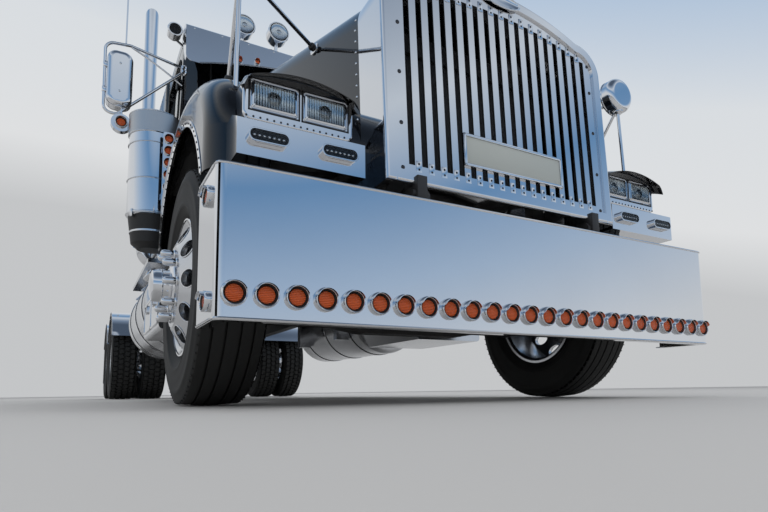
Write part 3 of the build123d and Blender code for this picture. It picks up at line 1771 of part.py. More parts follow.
# Tie rod between the two steering arms, parallel to the axle
rod_z = arm_top - arm_thick - ball_pin_length / 2
eye_height = 2 * tie_rod_radius + 6
with BuildPart() as tie_rod:
    add(
        rod(
            (-(kingpin_x - 20), pin_y, rod_z),
            (kingpin_x - 20, pin_y, rod_z),
            tie_rod_radius,
        )
    )
    for _, sign in sides:
        clearance = bearing_clearance if sign < 0 else open_eye_clearance
        with Locations((sign * kingpin_x, pin_y, rod_z)):
            Cylinder(28, eye_height)
            Cylinder(ball_pin_radius + clearance, 2 * eye_height, mode=Mode.SUBTRACT)
save(tie_rod.part, "tie_rod")
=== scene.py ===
import json
import math

import bpy
from mathutils import Matrix, Vector

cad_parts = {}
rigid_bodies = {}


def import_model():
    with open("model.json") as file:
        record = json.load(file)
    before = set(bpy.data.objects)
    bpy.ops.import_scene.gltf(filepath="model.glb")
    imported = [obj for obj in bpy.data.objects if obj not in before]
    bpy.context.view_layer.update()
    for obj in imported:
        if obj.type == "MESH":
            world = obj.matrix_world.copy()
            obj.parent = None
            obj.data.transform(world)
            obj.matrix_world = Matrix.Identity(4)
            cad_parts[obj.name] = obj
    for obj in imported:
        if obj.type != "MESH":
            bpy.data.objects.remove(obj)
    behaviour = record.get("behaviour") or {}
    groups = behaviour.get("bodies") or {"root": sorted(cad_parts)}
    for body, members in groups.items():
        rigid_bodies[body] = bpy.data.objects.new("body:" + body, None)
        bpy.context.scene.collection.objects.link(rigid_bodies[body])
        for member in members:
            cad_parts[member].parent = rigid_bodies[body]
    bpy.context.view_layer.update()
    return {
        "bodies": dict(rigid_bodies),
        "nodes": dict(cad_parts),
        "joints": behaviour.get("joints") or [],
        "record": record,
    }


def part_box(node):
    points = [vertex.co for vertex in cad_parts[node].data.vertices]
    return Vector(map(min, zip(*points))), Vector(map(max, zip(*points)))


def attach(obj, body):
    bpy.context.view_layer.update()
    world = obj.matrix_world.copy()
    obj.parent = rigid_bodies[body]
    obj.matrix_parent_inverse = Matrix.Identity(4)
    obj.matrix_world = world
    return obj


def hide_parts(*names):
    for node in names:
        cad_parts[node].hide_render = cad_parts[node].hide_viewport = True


print("Loading the frame")
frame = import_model()
nodes = frame["nodes"]
scene = bpy.context.scene
scene.view_settings.view_transform = "Standard"


class Signal:  # a shader socket that takes part in sums
    def __init__(self, finish, socket):
        self.finish, self.socket = finish, socket

    def joined(self, operation, first, second):
        return self.finish.node("ShaderNodeMath", {"operation": operation}, {0: first, 1: second})

    def __add__(self, other):
        return self.joined("ADD", self, other)

    def __radd__(self, other):
        return self.joined("ADD", other, self)

    def __sub__(self, other):
        return self.joined("SUBTRACT", self, other)

    def __rsub__(self, other):
        return self.joined("SUBTRACT", other, self)

    def __mul__(self, other):
        return self.joined("MULTIPLY", self, other)

    def __rmul__(self, other):
        return self.joined("MULTIPLY", other, self)


class Finish:  # one node tree, with every node made by the same method
    def __init__(self, owner):
        owner.use_nodes = True
        self.owner, self.tree = owner, owner.node_tree
        self.tree.nodes.clear()

    def node(self, kind, settings=None, values=None, out=0):
        made = self.tree.nodes.new(kind)
        for key, value in (settings or {}).items():
            if key == "stops":
                ramp = made.color_ramp
                for end in (0, -1):
                    ramp.elements[end].position, ramp.elements[end].color = value[end]
                for spot, colour in value[1:-1]:
                    ramp.elements.new(spot).color = colour
            else:
                setattr(made, key, value)
        for key, value in (values or {}).items():
            if isinstance(value, Signal):
                self.tree.links.new(value.socket, made.inputs[key])
            else:
                made.inputs[key].default_value = value
        return Signal(self, made.outputs[out]) if len(made.outputs) else None

    def noise(self, scale, detail):
        place = self.node("ShaderNodeTexCoord", out="Object")
        return self.node("ShaderNodeTexNoise", {}, {"Vector": place, "Scale": scale, "Detail": detail})

    def mixed(self, factor, first, second):
        return self.node("ShaderNodeMix", {"data_type": "RGBA"}, {0: factor, 6: first, 7: second}, out=2)

    def finished(self, values):
        shader = self.node("ShaderNodeBsdfPrincipled", {}, values)
        self.node("ShaderNodeOutputMaterial", {}, {"Surface": shader})
        return self.owner


print("Mixing the finishes")
looks = {
    # dark colour, light colour, metallic, roughness from, roughness spread, grain size, grain depth, coat
    "blackPaint": ((0.002, 0.002, 0.003), (0.004, 0.004, 0.005), 0, 0.05, 0.04, 240, 0.00002, 0.3),
    "chrome": ((0.70, 0.71, 0.73), (0.78, 0.79, 0.81), 1, 0.02, 0.04, 2.5, 0.0007, 0),
    "mirrorGlass": ((0.80, 0.82, 0.84), (0.84, 0.86, 0.88), 1, 0.01, 0.02, 2.0, 0.0001, 0),
    "polishedAlloy": ((0.62, 0.63, 0.65), (0.72, 0.73, 0.75), 1, 0.05, 0.07, 40, 0.00002, 0),
    "alloy": ((0.56, 0.57, 0.59), (0.66, 0.67, 0.69), 1, 0.14, 0.12, 60, 0.00004, 0),
    "brushed": ((0.45, 0.46, 0.47), (0.56, 0.57, 0.58), 1, 0.28, 0.14, 90, 0.00006, 0),
    "plateGrey": ((0.33, 0.36, 0.35), (0.38, 0.41, 0.40), 0, 0.35, 0.15, 160, 0.0001, 0),
    # Also drawn as the exhaust shields' hole discs, as painted shade.
    "satinBlack": ((0.014, 0.014, 0.015), (0.028, 0.028, 0.030), 0, 0.42, 0.20, 130, 0.0002, 0),
    "castIron": ((0.022, 0.021, 0.020), (0.050, 0.048, 0.045), 0, 0.55, 0.25, 110, 0.0006, 0),
    "tyreRubber": ((0.007, 0.007, 0.007), (0.015, 0.015, 0.014), 0, 0.62, 0.20, 300, 0.0002, 0),
    "flapRubber": ((0.012, 0.012, 0.012), (0.022, 0.022, 0.022), 0, 0.50, 0.20, 180, 0.0004, 0),
    "amberLens": ((0.42, 0.062, 0.004), (0.55, 0.090, 0.007), 0, 0.16, 0.08, 120, 0.00005, 0.3),
    "redLens": ((0.30, 0.004, 0.004), (0.42, 0.008, 0.007), 0, 0.16, 0.08, 120, 0.00005, 0.3),
    "cabTrim": ((0.020, 0.020, 0.021), (0.040, 0.040, 0.042), 0, 0.55, 0.20, 400, 0.0003, 0),
    "seatLeather": ((0.030, 0.026, 0.022), (0.055, 0.048, 0.040), 0, 0.38, 0.20, 260, 0.0008, 0),
    # Also drawn on the grille's slot walls and on the air cleaners' chrome bowls, as painted shade and a
    # painted dark reflection.
    "blackRubber": ((0.008, 0.008, 0.008), (0.016, 0.016, 0.016), 0, 0.45, 0.20, 200, 0.0002, 0),
    "darkSteel": ((0.06, 0.06, 0.065), (0.10, 0.10, 0.105), 1, 0.30, 0.15, 120, 0.0001, 0),
    "lampMirror": ((0.26, 0.27, 0.27), (0.36, 0.37, 0.37), 1, 0.16, 0.10, 60, 0.0002, 0),
    "gaugeWhite": ((0.60, 0.60, 0.58), (0.70, 0.70, 0.68), 0, 0.40, 0.10, 300, 0.0001, 0),
    "enginePaint": ((0.030, 0.030, 0.032), (0.060, 0.060, 0.064), 0, 0.40, 0.20, 150, 0.0004, 0),
}


def surface(name):
    dark, light, metallic, rough, spread, grain, depth, coat = looks[name]
    finish = Finish(bpy.data.materials.new(name))
    drift, fine = finish.noise(1.7, 5), finish.noise(grain, 3)
    return finish.finished(
        {
            "Base Color": finish.mixed(drift, (*dark, 1), (*light, 1)),
            "Metallic": metallic,
            "Roughness": rough + spread * drift,
            "Coat Weight": coat,
            "Coat Roughness": 0.03,
            "Normal": finish.node("ShaderNodeBump", {}, {"Height": fine, "Strength": 0.6, "Distance": depth}),
        }
    )


def glassy(name, tint, roughness):
    finish = Finish(bpy.data.materials.new(name))
    return finish.finished(
        {
            "Base Color": (*tint, 1),
            "Roughness": roughness + 0.03 * finish.noise(3, 4),
            "Transmission Weight": 1.0,
            "IOR": 1.45,
        }
    )


finishes = {name: surface(name) for name in looks}
finishes["windowGlass"] = glassy("windowGlass", (0.45, 0.50, 0.50), 0.0)
finishes["clearLens"] = glassy("clearLens", (0.86, 0.88, 0.88), 0.02)

slotFinish = {
    "black_paint": "blackPaint", "polished": "chrome", "frame_black": "satinBlack", "alloy": "alloy",
    "brushed": "brushed", "axle_iron": "castIron", "tyre": "tyreRubber", "rubber": "flapRubber",
    "amber_lens": "amberLens", "red_lens": "redLens", "clear_glass": "windowGlass",
    "engine_paint": "enginePaint", "cab_trim": "cabTrim", "seat_leather": "seatLeather",
}
finishSlot = {finish: slot for slot, finish in slotFinish.items()}
finishSlot |= {
    "mirrorGlass": "polished", "blackRubber": "frame_black", "polishedAlloy": "alloy", "lampMirror": "alloy",
    "darkSteel": "brushed", "gaugeWhite": "brushed", "plateGrey": "brushed", "clearLens": "clear_glass",
}
for part in frame["record"]["subparts"]:
    mesh = nodes[part["node"]].data
    mesh.materials.clear()
    mesh.materials.append(finishes[slotFinish[part["material_slot"]]])

print("Setting the camera, floor and lights")
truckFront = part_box("bumper")[0].y
view = {
    "place": (-1.5451, truckFront - 1.6259, 0.0503),
    "yaw": 0.5289,  # turned towards the truck's left
    "pitch": 0.1169,  # looking up
    "roll": -0.0148,
    "focalPixels": 549.98,
    "centrePixel": (400.95, 326.64),
    "picture": (768, 512),
}
yaw, pitch, roll = view["yaw"], view["pitch"], view["roll"]
ahead = Vector((math.sin(yaw) * math.cos(pitch), math.cos(yaw) * math.cos(pitch), math.sin(pitch)))
level = Vector((math.cos(yaw), -math.sin(yaw), 0))
upward = level.cross(ahead)
rightward = math.cos(roll) * level + math.sin(roll) * upward
upward = math.cos(roll) * upward - math.sin(roll) * level
wide, high = view["picture"]
lens = bpy.data.cameras.new("camera")
lens.sensor_width = 36
lens.lens = view["focalPixels"] * lens.sensor_width / wide
lens.shift_x = (wide / 2 - view["centrePixel"][0]) / wide
lens.shift_y = (view["centrePixel"][1] - high / 2) / wide
lens.clip_start = 0.02
camera = bpy.data.objects.new("camera", lens)
turn = Matrix((rightward, upward, -ahead)).transposed().to_4x4()
camera.matrix_world = Matrix.Translation(view["place"]) @ turn
scene.collection.objects.link(camera)
scene.camera = camera

room = {
    "floorSize": 120,
    "floorColour": (0.46, 0.46, 0.46),
    "airStops": (
        (0, (0.55, 0.56, 0.57, 1)), (0.1, (0.73, 0.74, 0.75, 1)), (0.28, (0.69, 0.72, 0.75, 1)),
        (0.45, (0.41, 0.53, 0.69, 1)), (0.62, (0.15, 0.3, 0.52, 1)), (0.76, (0.62, 0.68, 0.75, 1)),
        (0.9, (0.22, 0.29, 0.4, 1)), (1, (0.08, 0.11, 0.16, 1)),
    ),
    "frontShare": 0.30,  # how much further up the bands the front of the truck looks
    "diffuse": 0.62,
}


def clearSelection():
    if bpy.context.object and bpy.context.object.mode != "OBJECT":
        bpy.ops.object.mode_set(mode="OBJECT")
    bpy.ops.object.select_all(action="DESELECT")


clearSelection()
bpy.ops.mesh.primitive_plane_add(size=room["floorSize"], location=(0, 0, 0))
floor = bpy.context.object
floor.name = "floor"
floorFinish = Finish(bpy.data.materials.new("floorFinish"))
floor.data.materials.append(
    floorFinish.finished({"Base Color": (*room["floorColour"], 1), "Roughness": 0.75})
)

world = bpy.data.worlds.new("studio")
scene.world = world
air = Finish(world)
direction = air.node("ShaderNodeTexCoord", out="Generated")
climb, rear = (air.node("ShaderNodeSeparateXYZ", {}, {"Vector": direction}, out=axis) for axis in "ZY")
sky = air.node("ShaderNodeValToRGB", {"stops": room["airStops"]}, {"Fac": climb - room["frontShare"] * rear})
lit = air.node("ShaderNodeBackground", {}, {"Color": (1, 1, 1, 1), "Strength": room["diffuse"]})
seen = air.node("ShaderNodeBackground", {}, {"Color": sky, "Strength": 1})
rays = ("Camera", "Glossy", "Transmission")
eye, glossy, through = (air.node("ShaderNodeLightPath", out=f"Is {ray} Ray") for ray in rays)
path = air.node("ShaderNodeMath", {"operation": "MAXIMUM"}, {0: eye, 1: glossy})
path = air.node("ShaderNodeMath", {"operation": "MAXIMUM"}, {0: path, 1: through})
shown = air.node("ShaderNodeMixShader", {}, {0: path, 1: lit, 2: seen})
air.node("ShaderNodeOutputWorld", {}, {"Surface": shown})

lamps = (
    # name, place, aimed at, width, height, watts
    ("keyLamp", (5, -16, 11), (0, -3, 1.2), 12, 8, 900),
    ("sideLamp", (-14, -4, 7), (0, 0, 1.2), 10, 6, 300),
    ("topLamp", (0, 1, 12), (0, 0, 0), 9, 14, 450),
    ("rearLamp", (7, 15, 7), (0, 2, 1.5), 10, 6, 420),
)
for name, place, target, across, tall, watts in lamps:
    light = bpy.data.lights.new(name, "AREA")
    light.shape = "RECTANGLE"
    light.size, light.size_y = across, tall
    light.energy = watts
    lampObject = bpy.data.objects.new(name, light)
    lampObject.location = place
    lampObject.rotation_euler = (Vector(target) - Vector(place)).to_track_quat("-Z", "Y").to_euler()
    lampObject.visible_glossy = False  # metal and glass show the soft room, not a lamp's hard edge
    lampObject.visible_transmission = False
    scene.collection.objects.link(lampObject)

print("Modelling the pieces")
hands = (("Left", 1), ("Right", -1))
toFront, toRear, upwards = (0, -1, 0), (0, 1, 0), (0, 0, 1)
mirrorX = Matrix.Diagonal((-1, 1, 1, 1))


def openEdit():
    bpy.ops.object.mode_set(mode="EDIT")
    bpy.ops.mesh.select_all(action="SELECT")


def closeEdit():
    bpy.ops.object.mode_set(mode="OBJECT")


def cleaned(angle=35):  # doubles merged, faces turned outwards, soft edges shaded
    openEdit()
    bpy.ops.mesh.remove_doubles(threshold=0.00001)
    bpy.ops.mesh.normals_make_consistent(inside=False)
    closeEdit()
    bpy.ops.object.shade_smooth_by_angle(angle=math.radians(angle))
    return bpy.context.object


def chosen(piece):
    clearSelection()
    piece.select_set(True)
    bpy.context.view_layer.objects.active = piece


def settled(piece, matrix=None):  # the place goes into the mesh
    if matrix is not None:
        piece.matrix_world = matrix
    chosen(piece)
    bpy.ops.object.transform_apply(location=True, rotation=True, scale=True)
    return piece


def applied(piece, kind, **settings):  # a modifier with these settings, made part of the mesh
    change = piece.modifiers.new(kind.lower(), kind)
    for key, value in settings.items():
        setattr(change, key, value)
    bpy.ops.object.modifier_apply(modifier=change.name)


def cut(place, normal, **ends):  # bisects the piece being worked on
    openEdit()
    bpy.ops.mesh.bisect(plane_co=place, plane_no=normal, **ends)
    closeEdit()


def spot(place, direction=upwards, spin=0):
    turn = Vector(direction).to_track_quat("Z", "Y").to_matrix().to_4x4()
    return Matrix.Translation(place) @ turn @ Matrix.Rotation(spin, 4, "Z")


def moved(piece, place, direction=upwards):
    return settled(piece, spot(place, direction))


def bothSides(x, y, z, direction):  # a place and its mirror place
    return [spot((s * x, y, z), (s * direction[0] or 0, *direction[1:])) for s in (1, -1)]


def back(distance):  # Y of a point this far behind the bumper's face
    return truckFront + distance


def spread(count, pitch):  # evenly spaced about zero
    return [(index - (count - 1) / 2) * pitch for index in range(count)]


def between(low, high, count):  # evenly spaced, with both ends
    return [low + (high - low) * index / (count - 1) for index in range(count)]


def struck(name, start, direction):  # where a line first meets a CAD node, and the face's direction there
    start, direction = Vector(start), Vector(direction).normalized()
    hit, place, normal, _ = nodes[name].ray_cast(start, direction)
    return (place, normal) if hit else (start, -direction)


def turned(rings, sides=32, angle=35, hollow=False):  # rings of (radius, height), from the foot up
    clearSelection()
    radius, height = rings[0]
    bpy.ops.mesh.primitive_circle_add(vertices=sides, radius=radius, fill_type="NGON")
    openEdit()
    bpy.ops.transform.translate(value=(0, 0, height))
    for nextRadius, nextHeight in rings[1:]:
        bpy.ops.mesh.extrude_region_move(TRANSFORM_OT_translate={"value": (0, 0, nextHeight - height)})
        share = nextRadius / radius
        bpy.ops.transform.resize(value=(share, share, 1), center_override=(0, 0, nextHeight))
        radius, height = nextRadius, nextHeight
    closeEdit()
    if hollow:  # the last ring meets the first, so both end faces go
        for face in bpy.context.object.data.polygons:
            face.select = len(face.vertices) == sides
        bpy.ops.object.mode_set(mode="EDIT")
        bpy.ops.mesh.delete(type="FACE")
        closeEdit()
    return cleaned(angle)


def ring(inner, outer, foot, top, sides=48, edge=0.0015):  # flat band with softened outer edges
    outside = [(outer - edge, foot), (outer, foot + edge), (outer, top - edge), (outer - edge, top)]
    return turned([(inner, foot), *outside, (inner, top)], sides, 40, hollow=True)


def dome(radius, height, sides=10):
    profile = [(radius, 0), (radius * 0.86, height * 0.55), (radius * 0.45, height * 0.92), (0.0008, height)]
    return turned(profile, sides, 60)


def panelled(wide, tall, deep, corner, rim, recess, steps=6):  # rounded block with its face sunk inside a rim
    clearSelection()
    bpy.ops.mesh.primitive_cube_add(size=1, location=(0, 0, deep / 2), scale=(wide, tall, deep))
    piece = settled(bpy.context.object)
    mesh = piece.data
    for element in (*mesh.vertices, *mesh.polygons):
        element.select = False
    for line in mesh.edges:
        first, second = (mesh.vertices[index].co for index in line.vertices)
        line.select = abs(first.z - second.z) > deep / 2
    bpy.ops.object.mode_set(mode="EDIT")
    bpy.ops.mesh.select_mode(type="EDGE")
    bpy.ops.mesh.bevel(offset=corner, segments=steps, affect="EDGES")
    bpy.ops.mesh.select_mode(type="FACE")
    closeEdit()
    for face in mesh.polygons:
        face.select = face.normal.z > 0.9
    bpy.ops.object.mode_set(mode="EDIT")
    bpy.ops.mesh.inset(thickness=min(0.2 * rim, 0.002), depth=min(0.2 * rim, 0.002))
    bpy.ops.mesh.inset(thickness=rim)
    bpy.ops.mesh.extrude_region_move(TRANSFORM_OT_translate={"value": (0, 0, -recess)})
    closeEdit()
    return cleaned(30)


def boxed(low, high, edge=0.002, steps=2):
    clearSelection()
    spans = [abs(b - a) for a, b in zip(low, high)]
    bpy.ops.mesh.primitive_cube_add(size=1, location=(Vector(low) + Vector(high)) / 2, scale=spans)
    piece = settled(bpy.context.object)
    if edge:
        applied(piece, "BEVEL", width=edge, segments=steps)
    bpy.ops.object.shade_smooth_by_angle(angle=math.radians(35))
    return piece


def framed(left, right, foot, top, rim, low, high, edge):  # four bars round an opening
    corners = (
        (left, foot, right, foot + rim), (left, top - rim, right, top),
        (left, foot, left + rim, top), (right - rim, foot, right, top),
    )
    return joined([boxed((a, b, low), (c, d, high), edge) for a, b, c, d in corners])


def piped(points, radius, sides=12, round=True):
    line = bpy.data.curves.new("pipe", "CURVE")
    line.dimensions = "3D"
    line.bevel_depth, line.bevel_resolution = radius, max(1, sides // 4 - 1)
    line.use_fill_caps = True
    run = line.splines.new("NURBS" if round else "POLY")
    run.points.add(len(points) - 1)
    for knot, place in zip(run.points, points):
        knot.co = (*place, 1)
    if round:
        run.order_u, run.use_endpoint_u, run.resolution_u = 3, True, 6
    piece = bpy.data.objects.new("pipe", line)
    scene.collection.objects.link(piece)
    chosen(piece)
    bpy.ops.object.convert(target="MESH")
    return cleaned(50)


def sheet(across, along, shape, thick):  # thin curved wall through the points that shape gives
    clearSelection()
    bpy.ops.mesh.primitive_grid_add(x_subdivisions=across, y_subdivisions=along, size=1)
    piece = bpy.context.object
    for point in piece.data.vertices:
        point.co = shape(point.co.x + 0.5, point.co.y + 0.5)
    applied(piece, "SOLIDIFY", thickness=thick)
    return cleaned(40)


def joined(pieces):
    clearSelection()
    for piece in pieces:
        piece.select_set(True)
    bpy.context.view_layer.objects.active = pieces[0]
    if len(pieces) > 1:
        bpy.ops.object.join()
    return bpy.context.object


def copied(pattern, matrices, last=True):  # one joined piece, with a copy of the pattern at each place
    made = []
    for matrix in matrices:
        twin = pattern.copy()
        twin.data = pattern.data.copy()
        twin.matrix_world = matrix
        scene.collection.objects.link(twin)
        made.append(twin)
    if last:
        bpy.data.objects.remove(pattern)
    return settled(joined(made))


def twinned(pieces):  # the same on both sides of the truck
    piece = joined(pieces)
    copied(piece, [mirrorX], last=False)
    return joined([piece, cleaned()])


def kept(piece, name, finish, body="root", instead=()):
    if isinstance(piece, list):
        piece = joined(piece)
    piece.name = piece.data.name = name
    piece.data.materials.clear()
    piece.data.materials.append(finishes[finish])
    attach(piece, body)
    if instead:
        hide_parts(*instead)
    return piece


print("  bumper lights")
bumperLamp = {
    "count": 25, "pitch": 0.097, "height": 0.081, "bezel": 0.04, "lens": 0.0268, "ribs": 9,
    "markerBack": 0.095, "markerHeights": (0.066, 0.395), "markerOval": (1.3, 0.82, 1, 1),
    # x and distance back of the bead, from the bumper's end to its face
    "bead": (
        (1.2205, 0.262), (1.2205, 0.1), (1.2205, 0.024), (1.213, 0.0075), (1.195, -0.0005), (1.12, -0.0005),
    ),
    "beadInset": 0.006, "beadRadius": 0.0042,
}
lampShape = {"lip": 0.17, "lensFoot": 0.0045, "hood": 0.022}
bumperLow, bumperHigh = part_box("bumper")


def lampBezel(radius):  # a rolled ring with a short hood over its upper half
    lip = radius * (1 - lampShape["lip"])
    band = turned(
        [(radius, 0), (radius, 0.009), (radius - 0.0012, 0.014), (radius - 0.0036, 0.0172),
         (lip + 0.001, 0.016), (lip, 0.013), (lip, 0), (radius, 0)],
        40, hollow=True,
    )
    clearSelection()
    bpy.ops.mesh.primitive_cylinder_add(
        vertices=40, radius=radius - 0.0035, depth=lampShape["hood"], end_fill_type="NOTHING",
        location=(0, 0, 0.018),
    )
    hood = settled(bpy.context.object)
    cut((0, 0.006, 0.012), (0, 1, -0.55), clear_inner=True)
    applied(hood, "SOLIDIFY", thickness=0.0016)
    return joined([band, cleaned()])


def lampWell(radius, lensRadius):  # the black cup between the bezel's lip and the lens
    lip, foot = radius * (1 - lampShape["lip"]) + 0.0003, lampShape["lensFoot"]
    cup = [(lip, 0.0002), (lip, 0.0132), (lip - 0.0006, 0.0132), (lensRadius + 0.0008, foot), (0.001, foot)]
    return turned(cup, 40)


def ribbedLens(radius, ribs):
    foot = lampShape["lensFoot"]
    edge = [(radius, foot - 0.002), (radius, foot + 0.002), (radius * 0.95, foot + 0.003)]
    bars = [turned(edge + [(0.001, foot + 0.004)], 32)]
    for index in range(ribs):
        height = radius * 0.92 * (2 * (index + 0.5) / ribs - 1)
        half = math.sqrt(max(radius**2 - (abs(height) + radius / ribs * 0.6) ** 2, 0.00001)) * 0.97
        clearSelection()
        bpy.ops.mesh.primitive_cylinder_add(
            vertices=8, radius=radius / ribs * 0.82, depth=2 * half, location=(0, height, foot + 0.003),
            rotation=(0, math.pi / 2, 0),
        )
        bars.append(cleaned(60))
    return settled(joined(bars))


def lampSet(prefix, radius, lensRadius, ribs, spots, well=True, instead=()):
    kept(copied(lampBezel(radius), spots), f"{prefix}LampBezels", "chrome", instead=instead)
    if well:
        kept(copied(lampWell(radius, lensRadius), spots), f"{prefix}LampWells", "blackRubber")
    kept(copied(ribbedLens(lensRadius, ribs), spots), f"{prefix}LampLenses", "amberLens")


lampHeight = bumperLow.z + bumperLamp["height"]
lampXs = spread(bumperLamp["count"], bumperLamp["pitch"])
lampSpots = [spot((x, truckFront, lampHeight), toFront) for x in lampXs]
for rise in bumperLamp["markerHeights"]:
    for flat in bothSides(bumperHigh.x, back(bumperLamp["markerBack"]), bumperLow.z + rise, (1, 0, 0)):
        lampSpots.append(flat @ Matrix.Diagonal(bumperLamp["markerOval"]))
lampSizes = (bumperLamp["bezel"], bumperLamp["lens"], bumperLamp["ribs"])
lampSet("bumper", *lampSizes, lampSpots, instead=("bumper_lights",))
beads, edge = [], bumperLamp["bead"]
for height in (bumperLow.z + bumperLamp["beadInset"], bumperHigh.z - bumperLamp["beadInset"]):
    line = [(x, back(d), height) for x, d in edge] + [(-x, back(d), height) for x, d in reversed(edge)]
    beads.append(piped(line, bumperLamp["beadRadius"], 10))
kept(beads, "bumperBeads", "chrome")

print("  grille and hood trim")
grille = {
    "lean": math.radians(2.5), "foot": 0.82, "back": 0.05, "half": 0.615, "lip": 0.048,
    "panel": 0.01,  # how far the flat panel lies behind the shell's face
    "bars": 17, "pitch": 0.0586, "slotFoot": 0.078, "slotHalf": 0.0135, "sheet": 0.008, "slotMargin": 0.06,
    "crown": 0.99, "shoulder": 0.9, "corner": 0.15, "tab": (0.024, 0.046, 0.0025), "rivetGap": 0.011,
    "rivet": (0.0048, 0.0028), "screw": (0.0085, 0.0045), "screwInset": 0.028,
    "screwRises": (0.06, 0.24, 0.45, 0.66, 0.8), "screwXs": (-0.42, -0.14, 0.14, 0.42), "screwFoot": 0.024,
}
plate = {"xs": (-0.2555, 0.2895), "rises": (0.122, 0.262), "rim": 0.012, "out": -0.002}
leanCos, leanSin = math.cos(grille["lean"]), math.sin(grille["lean"])
grillePlane = Matrix(((1, 0, 0, 0), (0, leanSin, -leanCos, 0), (0, leanCos, leanSin, 0), (0, 0, 0, 1)))


def onGrille(x, rise, out):
    y, z = rise * leanSin - out * leanCos, rise * leanCos + out * leanSin
    return Vector((x, back(grille["back"]) + y, grille["foot"] + z))


def grilleSpot(x, rise, out):
    return Matrix.Translation(onGrille(x, rise, out)) @ grillePlane


def barTop(x):
    top = grille["crown"] - grille["lip"] - grille["slotMargin"]
    return top - (grille["crown"] - grille["shoulder"]) * (x / (grille["half"] - grille["lip"])) ** 2


tabWide, tabTall, tabThick = grille["tab"]
tabSpots, rivetSpots = [], []
for x in spread(grille["bars"], grille["pitch"]):
    for rise in (grille["slotFoot"] - 0.004, barTop(x) + 0.004):
        tabSpots.append(grilleSpot(x, rise, -grille["panel"]))
        for step in (-grille["rivetGap"], grille["rivetGap"]):
            rivetSpots.append(grilleSpot(x, rise + step, tabThick - grille["panel"]))
tab = boxed((-tabWide / 2, -tabTall / 2, 0), (tabWide / 2, tabTall / 2, tabThick), 0.0008)
kept(copied(tab, tabSpots), "grilleTabs", "chrome", "hood")
kept(copied(dome(*grille["rivet"]), rivetSpots), "grilleRivets", "darkSteel", "hood")
edge = grille["half"] - grille["lip"] - grille["screwInset"]
screws = [(side * edge, rise) for side in (1, -1) for rise in grille["screwRises"]]
screws += [(x, grille["screwFoot"]) for x in grille["screwXs"]]
screwSpots = [grilleSpot(x, rise, -grille["panel"]) for x, rise in screws]
kept(copied(dome(*grille["screw"], 14), screwSpots), "grilleScrews", "darkSteel", "hood")

plateFrame = framed(*plate["xs"], *plate["rises"], plate["rim"], 0, 0.006, 0.0025)
kept(settled(plateFrame, grilleSpot(0, 0, plate["out"])), "plateFrame", "chrome", "hood")
(left, right), (foot, top), rim = plate["xs"], plate["rises"], plate["rim"]
blank = boxed((left + rim, foot + rim, 0), (right - rim, top - rim, 0.0018), 0.0005)
kept(settled(blank, grilleSpot(0, 0, plate["out"])), "blankPlate", "plateGrey", "hood")


def arcThrough(first, middle, last, steps):  # points on the circle through three (x, z) points
    (ax, az), (bx, bz), (cx, cz) = first, middle, last
    d = 2 * (ax * (bz - cz) + bx * (cz - az) + cx * (az - bz))
    a, b, c = ax**2 + az**2, bx**2 + bz**2, cx**2 + cz**2
    x = (a * (bz - cz) + b * (cz - az) + c * (az - bz)) / d
    z = (a * (cx - bx) + b * (ax - cx) + c * (bx - ax)) / d
    radius, ends = math.hypot(ax - x, az - z), (math.atan2(az - z, ax - x), math.atan2(cz - z, cx - x))
    return [(x + radius * math.cos(angle), z + radius * math.sin(angle)) for angle in between(*ends, steps + 1)]


def archLine(inset):  # the shell's outline from one foot over the crown to the other
    half, shoulder, crown, corner = (grille[key] for key in ("half", "shoulder", "crown", "corner"))
    bend = (half - 0.3 * corner, shoulder - 0.27 * corner)
    right = [(half, 0.002), (half, 0.3), (half, 0.6)]
    right += arcThrough((half, shoulder - corner), bend, (half - corner, shoulder), 12)
    top = arcThrough((half - corner, shoulder), (0, crown), (corner - half, shoulder), 28)[1:-1]
    outline = right + top + [(-x, z) for x, z in reversed(right)]
    points = []
    for index, (x, z) in enumerate(outline):
        before, after = outline[max(index - 1, 0)], outline[min(index + 1, len(outline) - 1)]
        along = Vector((after[0] - before[0], after[1] - before[1])).normalized()
        points.append((x - along.y * inset, z + along.x * inset))
    return points


for name, finish, out, inset, radius, sides in (
    ("grilleSeam", "blackRubber", 0.001 - grille["panel"], 0.0045, 0.0042, 8),
    ("grilleBeads", "chrome", -0.004, 0.004, 0.0045, 10),
):
    line = [onGrille(x, z, out) for x, z in archLine(grille["lip"] - inset)]
    kept(piped(line, radius, sides), name, finish, "hood")
# Thin black strips down the side walls of the grille's slots: painted shade, where the chrome slot sides fall
# in shadow.
linings = []
for x in spread(grille["bars"] + 1, grille["pitch"]):
    for sign in (-1, 1):
        edge = x + sign * grille["slotHalf"]
        near, far = sorted((edge - sign * 0.0006, edge + sign * 0.0001))
        low = (near, grille["slotFoot"] + 0.001, -grille["panel"] - grille["sheet"])
        liningAndShadeStrip = boxed(low, (far, barTop(x) - 0.001, -grille["panel"] - 0.0012), 0)
        linings.append(settled(liningAndShadeStrip, grilleSpot(0, 0, 0)))
kept(linings, "slotShadeStrips", "blackRubber", "hood")

print("  headlamps")
headlamp = {
    "xs": (0.802, 0.994), "height": 1.08, "wide": 0.165, "tall": 0.1, "flutes": 15, "gasket": 0.006,
    "podFront": 0.175, "podX": (0.69, 1.105), "podTop": 1.176, "podArch": 0.033,
    "browBack": (0.215, 0.12), "browX": (0.684, 1.115), "browFront": 1.1565,
    "rivets": 17, "rivetHeight": 0.9985,
}
lampWide, lampTall, gasket = headlamp["wide"], headlamp["tall"], headlamp["gasket"]


def atLamps(depth):  # each headlamp's place, this far behind the pod's face
    y = back(headlamp["podFront"]) + depth
    return [place for x in headlamp["xs"] for place in bothSides(x, y, headlamp["height"], toFront)]


